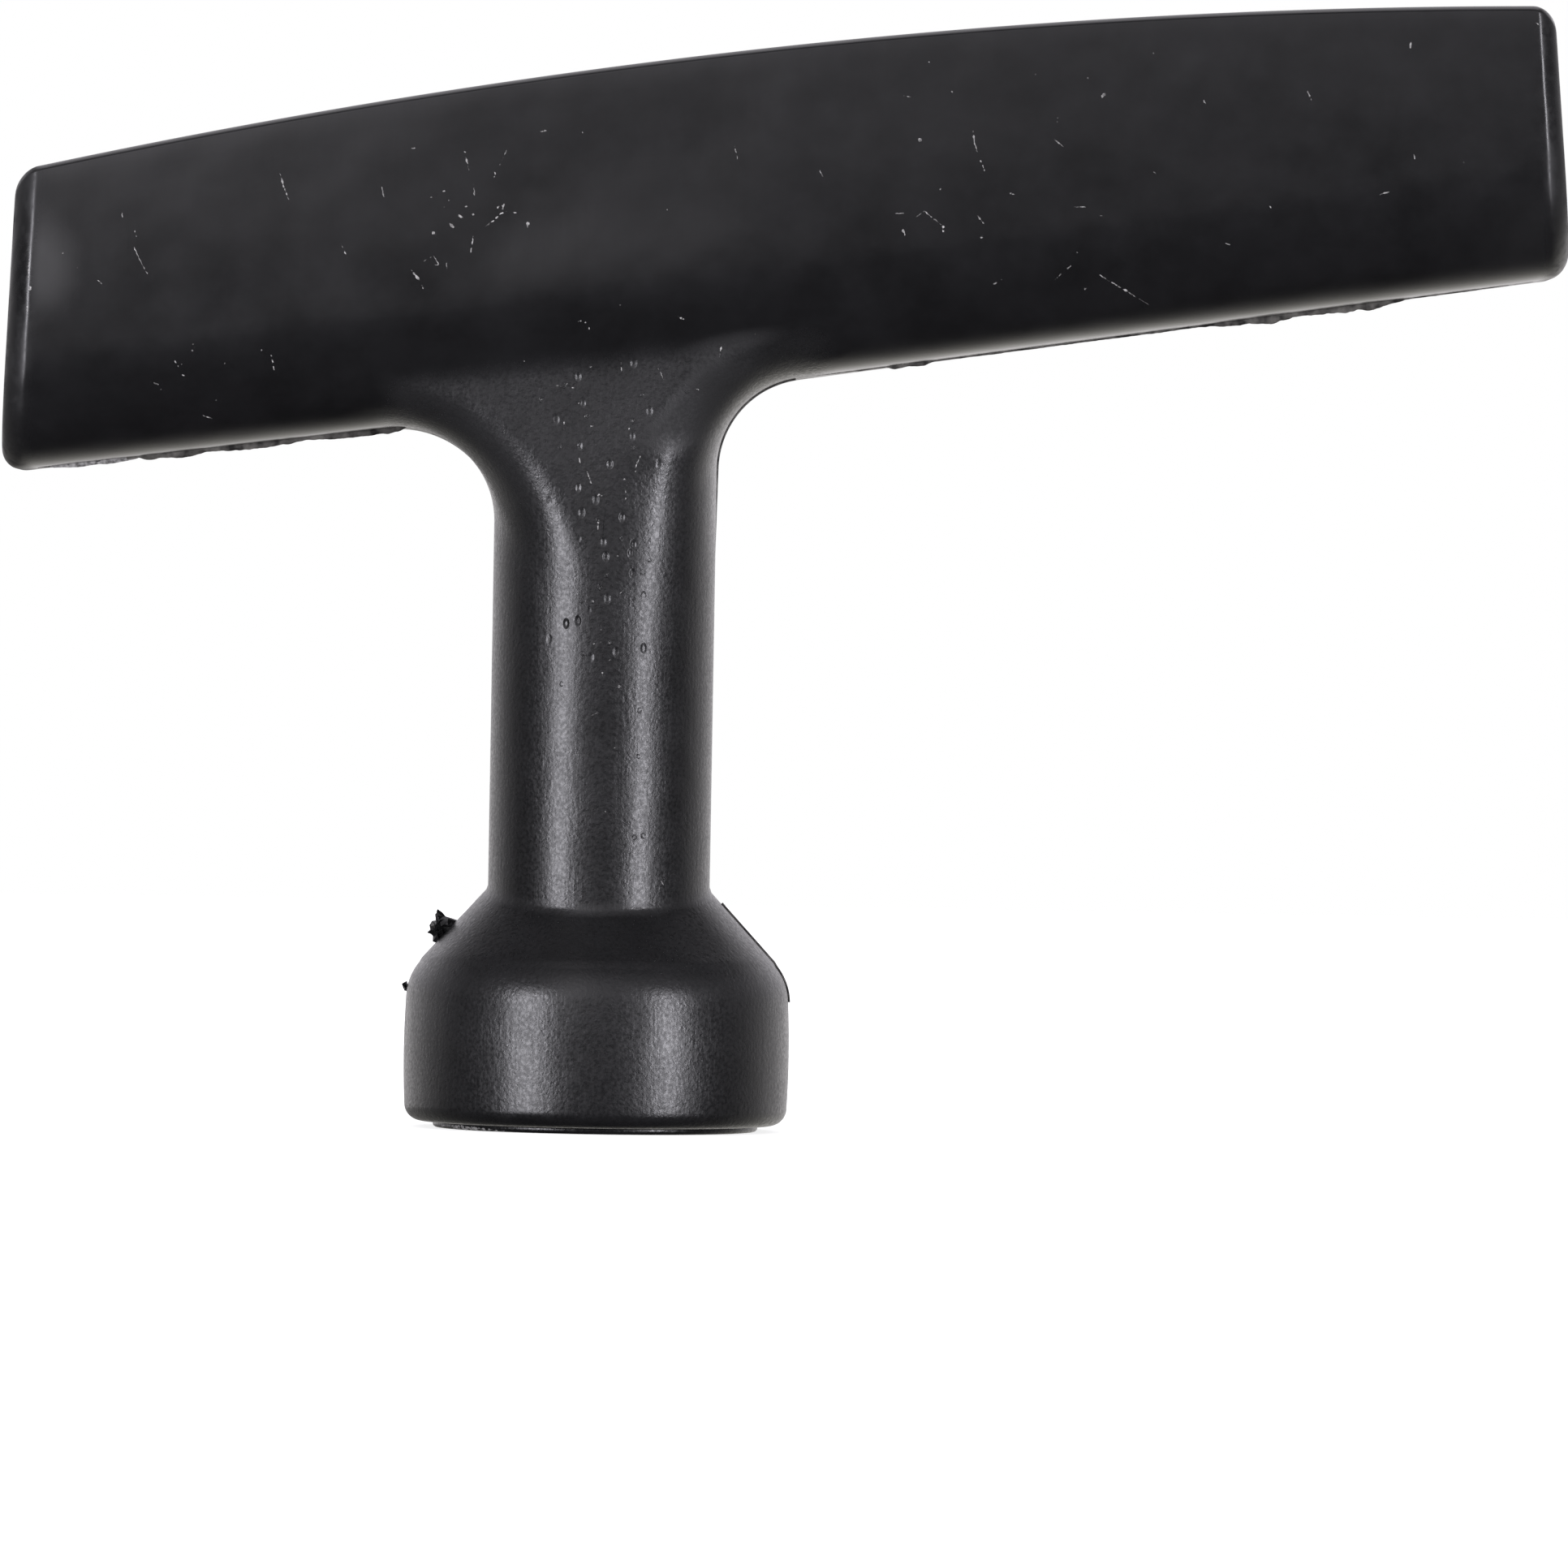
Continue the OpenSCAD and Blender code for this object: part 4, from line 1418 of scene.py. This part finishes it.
# Painted highlight: the pale colour is torn, stress-whitened plastic and also stands for glints of light.
shade = two_tones(tree, scuff_and_glint_mottle, 0.35, (0.085, 0.084, 0.081), 0.68, (0.420, 0.415, 0.405))
wire(tree, (shade, shader.inputs["Base Color"]),
     (change(tree, scuff_and_glint_mottle, 0.0, 1.0, 0.40, 0.62), shader.inputs["Roughness"]),
     (bump(tree, scuff_and_glint_mottle, 2e-5, 0.6), shader.inputs["Normal"]))
print("Material", pale_scuff_and_glint.name, "has", len(tree.nodes), "nodes")

# %% [markdown]
# The flash tree makes four more thin pieces in the parting plane: a pale sliver under the
# short arm, a nub as high as the rim, and a low seam under each arm. Each has its name, where
# it starts and ends along X, the edge it follows, which way is out, how tall it is, and its finish.

# %% Pale slivers and low seams
slivers = (("sliver_short_arm", -35.6, -29.8, under_z, -1, 0.26, pale_scuff_and_glint),
           ("nub_rim", -28.9, -28.3, rim_z, 1, 0.14, pale_scuff_and_glint),
           ("seam_short_arm", -36.4, -12.2, under_z, -1, 0.12, thin),
           ("seam_long_arm", 13.2, 59.4, under_z, -1, 0.11, thin))
for k, (name, start, end, level_of, out_z, tall, paint) in enumerate(slivers):
    x = np.arange(start, end, 0.1)
    pieces.append(grow(name, level_path(name, x, level_of(x), out_z, tall), flash_nodes,
                       {**common, "Seed": 20.0 + k, "Finish": paint, "Raggedness": 1.1}))

# %% [markdown]
# Each mark is its width and then the places of its line, in the picture's pixels. A mark with
# one place is a dot. The marks on the grip come first, then the specks round the root, which are
# painted glints, and a pale line on the bell's lip, a painted reflection along its lower edge,
# and last some fainter marks.

# %% Where the scuffs and painted glints are
marks = [(6, 547, 236), (7, 546, 253, 547, 256), (4, 532, 243), (4, 553, 246), (4, 574, 254), (4, 583, 264),
         (5, 565, 265, 571, 269), (5, 554, 275, 559, 281), (5, 533, 285, 537, 290), (4, 573, 187),
         (3, 568, 197), (3, 574, 194, 578, 210), (2, 583, 227, 585, 243), (3, 624, 185, 616, 203),
         (3, 610, 212, 609, 219), (4, 598, 279, 608, 272, 617, 263, 624, 261), (3, 612, 257, 615, 254),
         (3, 621, 251, 619, 258), (2, 631, 262, 637, 262), (4, 650, 272, 650, 280), (5, 821, 256, 822, 261),
         (5, 666, 162, 674, 161), (4, 718, 160, 718, 164), (3, 507, 333, 516, 344, 522, 356),
         (2, 522, 322, 534, 315, 541, 326, 536, 327), (2, 550, 324, 551, 331), (2, 513, 182, 507, 183),
         (2, 583, 291, 580, 311), (5, 1145, 77), (4, 1173, 113), (5, 1133, 170, 1134, 175), (6, 1248, 239),
         (5, 1337, 356), (10, 1358, 265, 1358, 268), (4, 1303, 144, 1303, 151), (3, 1276, 92),
         (3, 1340, 96), (3, 1421, 66), (4, 1130, 223), (3, 1159, 233), (5, 1209, 290, 1209, 294),
         (3, 1302, 268), (3, 1327, 311), (3, 1111, 117, 1123, 120), (4, 1356, 122, 1363, 113),
         (3, 1199, 161, 1201, 177, 1204, 187), (3, 1208, 197, 1213, 211), (4, 1111, 278, 1115, 290),
         (2, 1103, 263, 1114, 263), (2, 1129, 267, 1139, 260, 1150, 269, 1160, 277),
         (4, 1162, 278, 1162, 286), (3, 1204, 265, 1213, 277), (3, 1300, 344, 1320, 327),
         (3, 1350, 336, 1382, 355, 1415, 375), (2, 1324, 255, 1339, 255), (3, 1224, 350, 1237, 344),
         (2, 1298, 171, 1312, 182), (3, 345, 214, 350, 232, 356, 246), (3, 166, 284, 168, 292),
         (2, 165, 304, 174, 324, 182, 338), (4, 77, 310, 77, 313), (7, 275, 448, 278, 450),
         (5, 224, 461, 229, 463), (3, 224, 449), (4, 322, 432), (2, 334, 436, 338, 456), (3, 237, 432),
         (3, 198, 480), (3, 266, 493), (3, 54, 469), (3, 402, 281), (3, 378, 200), (5, 1645, 178),
         (4, 1745, 150), (3, 1245, 238), (2, 1560, 250, 1566, 256), (2, 1700, 240, 1712, 236),
         (2, 1480, 120, 1486, 128), (3, 712, 396, 720, 395, 728, 408), (3, 836, 390, 843, 394),
         (3, 764, 376), (6, 686, 476), (4, 698, 473), (4, 706, 478), (5, 667, 491), (3, 727, 446, 728, 454),
         (2, 765, 447, 766, 457), (4, 721, 513), (5, 729, 525), (3, 695, 519, 695, 529), (4, 691, 550),
         (4, 712, 545), (2, 714, 564, 715, 573), (4, 723, 581, 729, 596), (5, 779, 519), (4, 775, 528),
         (5, 793, 487), (2, 811, 454, 818, 468), (4, 820, 487), (3, 854, 480, 861, 480),
         (3, 789, 562, 783, 576), (3, 769, 591), (2, 771, 602, 771, 619), (3, 737, 638, 737, 647),
         (3, 741, 611), (3, 889, 425, 886, 440), (5, 720, 741), (4, 731, 741), (4, 761, 685), (4, 748, 707),
         (3, 739, 724), (2, 737, 644, 736, 657), (3, 765, 667), (2, 740, 770, 741, 777), (3, 732, 793),
         (3, 740, 791), (3, 751, 792), (4, 751, 813), (3, 720, 806), (3, 742, 828, 743, 833),
         (4, 764, 842, 762, 848), (2, 730, 881, 737, 878), (5, 36, 352, 36, 358), (3, 36, 322, 35, 346),
         (3, 34, 372, 34, 384), (4, 746, 1000), (4, 812, 1084, 818, 1090),
         # the first mark here, on the bell's lip, is a painted reflection along its lower edge
         (5, 541, 1386.5, 560, 1389, 590, 1392, 622, 1394), (4, 713, 497), (5, 780, 550), (4, 762, 664),
         (4, 765, 730), (4, 921, 412), (4, 930, 412), (4, 728, 452), (4, 712, 565), (5, 738, 610),
         (4, 777, 527), (4, 783, 580), (3, 772, 598), (4, 846, 481), (3, 757, 922), (3, 735, 877),
         (3, 723, 985), (3, 120, 345, 126, 350), (3, 95, 330), (2, 150, 262, 151, 268),
         (2, 236, 420, 240, 428), (2, 214, 442, 220, 452), (2, 186, 470, 196, 474), (2, 250, 512, 262, 516),
         (2, 640, 452, 650, 440), (2, 420, 300, 428, 318), (2, 470, 230, 474, 246), (2, 905, 180, 909, 196),
         (2, 1010, 210, 1014, 218), (2, 1420, 210, 1426, 216), (2, 1510, 300, 1522, 304),
         (2, 1610, 110, 1616, 124), (3, 1738, 52, 1738, 60), (4, 1893, 28, 1897, 31),
         (2, 1742, 186, 1743, 196), (3, 1803, 200)]
print(len(marks), "marks")

# %% Lay marks on the skin
dice = random.Random(5)
spacing_px, shake_px = 1.6, 0.4


def mark_path(marks, sunk=0.25):
    """Lines on the skin, with the way the skin faces and half the mark's width at each point."""
    pts, ups, widths, edges = [], [], [], []
    for wide, *flat in marks:
        line = np.array(flat, float).reshape(-1, 2)
        if len(line) == 1:
            line = line + np.array([[-0.1, -0.3], [0.1, 0.3]]) * wide
        along = np.concatenate([[0], np.cumsum(np.hypot(*np.diff(line, axis=0).T))])
        n = max(5, int(along[-1] / spacing_px) + 2)
        first = len(pts)
        for k in range(n):
            at = along[-1] * k / (n - 1)
            spot, facing = on_skin(
                float(np.interp(at, along, line[:, 0])) + dice.uniform(-shake_px, shake_px),
                float(np.interp(at, along, line[:, 1])) + dice.uniform(-shake_px, shake_px))
            if spot is None:
                continue
            half = 1.3 * wide / 2 * picture_mm / picture_px
            half *= math.sin(math.pi * (k + 0.6) / (n + 0.2)) ** 0.55 * dice.uniform(0.8, 1.15)
            pts.append(spot / MM - facing * half * sunk)
            ups.append(facing)
            widths.append(half)
        edges += [(k, k + 1) for k in range(first, len(pts) - 1)]
    mesh = bpy.data.meshes.new("marks")
    mesh.from_pydata([tuple(p * MM) for p in pts], edges, [])
    mesh.attributes.new("up", "FLOAT_VECTOR", "POINT").data.foreach_set("vector", np.array(ups).ravel())
    mesh.attributes.new("wide", "FLOAT", "POINT").data.foreach_set("value", np.array(widths) * MM)
    return mesh


print("Marks have a point every", spacing_px, "pixels")

# %% Lips round the burnt pits, as place and width in pixels
pit_places = [(716, 740, 5), (730, 741, 4), (747, 709, 4), (766, 664, 4), (792, 705, 6), (793, 733, 6),
              (781, 738, 4), (739, 721, 4), (751, 792, 4), (768, 769, 3), (788, 875, 5), (787, 932, 4),
              (793, 1030, 5), (781, 1032, 5), (692, 843, 4), (816, 1085, 6), (718, 805, 4), (763, 846, 4),
              (739, 724, 4), (694, 475, 6), (667, 492, 5), (780, 519, 5), (792, 487, 4), (712, 548, 4),
              (724, 512, 4), (690, 550, 4), (779, 552, 4), (737, 640, 4), (846, 482, 4), (800, 690, 4)]
rings = []
for x, y, r in pit_places:
    turn = dice.uniform(0, 2 * math.pi)
    ring = []
    for k in range(9):
        a = turn + math.radians(300) * k / 8
        size = r / 2 * dice.uniform(0.8, 1.25)
        ring += [x + size * math.cos(a), y + 1.25 * size * math.sin(a)]
    rings.append((1.7, *ring))
pieces.append(grow("pit_lips", mark_path(rings, sunk=0.1), scuff_nodes,
                   {"Flatness": 0.35, "Raggedness": 1.0, "Grain": 6000.0, "Finish": plastic}))

# %% The scuffs and painted glints, kept above the floor
scuffs_and_glints = grow("scuffs_and_glints", mark_path(marks), scuff_nodes,
              {"Flatness": 0.72, "Raggedness": 1.3, "Grain": 6000.0, "Finish": pale_scuff_and_glint})
for point in scuffs_and_glints.data.vertices:
    point.co.z = max(point.co.z, 0.0)
pieces.append(scuffs_and_glints)

# %% [markdown]
# ## Crumbs on the bell
# A ragged crumb of plastic hangs on the left of the cone, torn off where the mould shut badly,
# and a smaller one sits on the shoulder. An outline is drawn once, and then shrunk and shaken
# on its way to the front and the back, so that it becomes a rough lump with sharp tips and
# facets that glint.

# %% A lump from its outline
def crumb(name, outline, depth, seed):
    """A lump with this outline, in the picture's pixels, and this half depth in mm."""
    shake = random.Random(seed)
    flat = [on_middle(x, y) for x, y in outline]
    centre = sum(flat, Vector()) / len(flat)
    levels = [(-1.0, 0.25), (-0.75, 0.6), (-0.35, 0.85), (0.0, 1.0), (0.35, 0.85), (0.75, 0.6), (1.0, 0.25)]
    pts, faces, n = [], [], len(flat)
    for at, size in levels:
        for p in flat:
            jolt = Vector([shake.uniform(-0.12, 0.12) for _ in range(3)]) * (at != 0.0)
            spot = centre + (p - centre) * size * (shake.uniform(0.8, 1.1) if at else 1.0)
            pts.append(spot + Vector((0, at * depth * shake.uniform(0.6, 1.2), 0)) + jolt)
    for a in range(len(levels) - 1):
        for k in range(n):
            b, c = a * n + k, a * n + (k + 1) % n
            faces += [(b, c, c + n), (b, c + n, b + n)]
    faces += [tuple(range(n)), tuple(range(len(pts) - n, len(pts)))]
    mesh = to_mesh(name, pts, faces)
    mesh.materials.append(plastic)
    return put_in_scene(name, mesh)


print("A lump can be made from its outline")

# %% The two crumbs
outline = [(539, 1120), (545, 1124), (549, 1129), (556, 1131), (563, 1135), (566, 1141), (560, 1147),
           (553, 1152), (546, 1156), (541, 1157), (538, 1162), (533, 1160), (534, 1154), (531, 1151),
           (526, 1149), (530, 1145), (529, 1140), (533, 1136), (537, 1134), (537, 1127)]
small_outline = [(495, 1212), (499, 1210), (504, 1213), (505, 1219), (500, 1221), (497, 1218)]
pieces.append(crumb("crumb_bell", outline, 0.62, 4))
pieces.append(crumb("crumb_shoulder", small_outline, 0.2, 9))

# %% [markdown]
# ## Floor, light and camera
# The handle stands on its bell on a plain pale floor. Two tall soft lamps stand in front,
# one on each side, and give the two streaks down the stem and the bell. The floor lets the
# room's reflections through, keeps the handle's shadow, and is lifted to white for the camera.

# %% The floor
def disc(name, radius, sides=96):
    mesh = bpy.data.meshes.new(name)
    ring = [(radius * math.cos(2 * math.pi * k / sides), radius * math.sin(2 * math.pi * k / sides), 0)
            for k in range(sides)]
    mesh.from_pydata(ring, [], [tuple(range(sides))])
    return put_in_scene(name, mesh)


floor = disc("floor", 1.2)
print("The floor is", round(floor.dimensions.x, 2), "m across")

# %% The floor's finish
floor_paint, tree, shader = new_material("pale_floor")
shader.inputs["Base Color"].default_value = (0.85, 0.85, 0.85, 1)
shader.inputs["Roughness"].default_value = 1.0
shader.inputs["Specular IOR Level"].default_value = 0.0
ray = node(tree, "ShaderNodeLightPath")
lift = node(tree, "ShaderNodeEmission")
lift.inputs["Color"].default_value = (1, 1, 1, 1)
lit = node(tree, "ShaderNodeAddShader")
clear = node(tree, "ShaderNodeBsdfTransparent")
choose = node(tree, "ShaderNodeMixShader")
through = larger(tree, ray.outputs["Is Glossy Ray"], ray.outputs["Is Shadow Ray"])
through = larger(tree, through, ray.outputs["Is Transmission Ray"])
away = node(tree, "ShaderNodeVectorMath", operation="LENGTH")
wire(tree, (node(tree, "ShaderNodeTexCoord").outputs["Object"], away.inputs[0]))
fade = change(tree, away.outputs["Value"], 0.04, 0.30, 0.78, 1.0)
wire(tree, (times(tree, fade, ray.outputs["Is Camera Ray"]), lift.inputs["Strength"]),
     (shader.outputs[0], lit.inputs[0]), (lift.outputs[0], lit.inputs[1]),
     (lit.outputs[0], choose.inputs[1]), (clear.outputs[0], choose.inputs[2]),
     (through, choose.inputs["Fac"]), (choose.outputs[0], tree.nodes["Material Output"].inputs["Surface"]))
floor.data.materials.append(floor_paint)
print("Material", floor_paint.name, "has", len(tree.nodes), "nodes")

# %% The camera
cam_data = bpy.data.cameras.new("camera")
cam = put_in_scene("camera", cam_data)
bpy.context.scene.camera = cam
cam_data.sensor_width = 36
cam_data.lens = 36 * eye_mm / picture_mm
cam.location = eye
cam.rotation_euler = eye_turn.to_euler()
print("The lens is", round(cam_data.lens, 1), "mm")

# %% The lamps
def soft_lamp(name, azimuth, height, wide, tall, glow):
    """A soft lamp 1 m away; glow is how bright its face is beside a white wall."""
    lamp = bpy.data.lights.new(name, "AREA")
    lamp.shape, lamp.size, lamp.size_y = "RECTANGLE", wide, tall
    lamp.energy = glow * math.pi * wide * tall
    lamp.color = (1.0, 0.985, 1.055)
    stand = put_in_scene(name, lamp)
    a = math.radians(azimuth)
    stand.location = (math.sin(a), -math.cos(a), height)
    aim = Vector((0, 0, 0.04)) - stand.location
    stand.rotation_euler = aim.to_track_quat("-Z", "Y").to_euler()
    print(name, "gives", round(lamp.energy, 1), "W")


soft_lamp("strip_left", -40.5, 0.05, 0.31, 0.62, 12.0)
soft_lamp("strip_right", 44, 0.05, 0.185, 0.62, 17.5)

# %% [markdown]
# ## The room
# Black plastic shows little but what it reflects, so most of the look of the grip is made here.
# The camera sees plain white. Reflections see a room: white behind the handle, a pale table,
# a pale lid over it, and a soft arch in front. All other rays get a dim even light from above.

# %% The parts of the room
world = bpy.data.worlds.new("studio")
bpy.context.scene.world = world
world.use_nodes = True
tree = world.node_tree
tree.nodes.clear()
split = node(tree, "ShaderNodeSeparateXYZ")
wire(tree, (node(tree, "ShaderNodeTexCoord").outputs["Generated"], split.inputs[0]))


def glow_over(axis, *stops):
    """Brightness along one axis of the room, from -1 to 1, as pairs of place and glow."""
    return ramp(tree, split.outputs[axis], stops, -1.0, 1.0)


def together(*parts):
    total = parts[0]
    for part in parts[1:]:
        total = times(tree, total, part)
    return total


behind = glow_over("Y", (-0.05, 0.0), (0.1, 0.10), (0.80, 1.12), (1.0, 1.1))
level = glow_over("Z", (-0.15, 0.0), (-0.06, 1.0), (0.38, 1.0), (0.68, 0.06))
table = together(glow_over("Z", (-0.90, 0.0), (-0.36, 0.88), (-0.15, 0.88), (-0.06, 0.0)),
                 glow_over("X", (-0.20, 0.35), (-0.10, 0.72), (0.05, 1.0)))
lid = together(glow_over("X", (-0.5, 0.0), (-0.25, 1.0), (0.25, 1.0), (0.5, 0.0)),
               glow_over("Y", (0.05, 0.0), (0.25, 1.2), (0.70, 1.2), (0.85, 0.0)),
               glow_over("Z", (0.3, 0.0), (0.55, 1.0)))
arch = together(
    glow_over("Z", (-0.02, 0.0), (0.17, 0.56), (0.40, 0.68), (0.70, 0.48), (0.90, 0.18), (1.0, 0.08)),
    glow_over("X", (-1.0, 0.3), (-0.45, 0.6), (-0.27, 2.2), (-0.17, 2.8), (-0.12, 1.85), (-0.08, 1.32),
              (-0.04, 1.22), (0.02, 0.98), (0.5, 0.8), (1.0, 0.4)),
    glow_over("Y", (-0.3, 1.0), (0.4, 0.0)))
room = together(behind, plus(tree, level, table))
room = plus(tree, plus(tree, room, lid), arch)
print("The room has", len(tree.nodes), "nodes")

# %% Who sees what
ray = node(tree, "ShaderNodeLightPath")
seen_plain = larger(tree, ray.outputs["Is Camera Ray"], ray.outputs["Is Transmission Ray"])
white = larger(tree, seen_plain, times(tree, ray.outputs["Is Glossy Ray"], room))
not_seen = minus(tree, 1.0, larger(tree, seen_plain, ray.outputs["Is Glossy Ray"]))
fill = times(tree, not_seen, soft_change(tree, split.outputs["Z"], 0.0, 1.0, 0.12, 0.75))
print("White for the camera, the room for reflections, a dim fill for the rest")

# %% The room's colour
hue_mix, low_hue, high_hue, hue = mix_colours(tree)
low_hue.default_value, high_hue.default_value = (1.03, 1.0, 0.93, 1), (1.03, 1.0, 1.055, 1)
plain_mix, tinted, plain_white, colour = mix_colours(tree)
plain_white.default_value = (1, 1, 1, 1)
back = node(tree, "ShaderNodeBackground")
out = node(tree, "ShaderNodeOutputWorld")
wire(tree, (change(tree, split.outputs["Z"], -0.5, 0.2), hue_mix.inputs["Factor"]), (hue, tinted),
     (seen_plain, plain_mix.inputs["Factor"]), (colour, back.inputs["Color"]),
     (plus(tree, white, fill), back.inputs["Strength"]), (back.outputs[0], out.inputs["Surface"]))
bpy.context.scene.view_settings.view_transform = "Standard"
print("World", world.name, "has", len(tree.nodes), "nodes")

# %% [markdown]
# ## Finish
# Every piece rides on the handle's one body. The shell stands for the CAD solid, so the CAD
# part is hidden.

# %% Ride on the body, and hide the CAD part
for piece in pieces:
    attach(piece, "root")
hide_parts("handle")
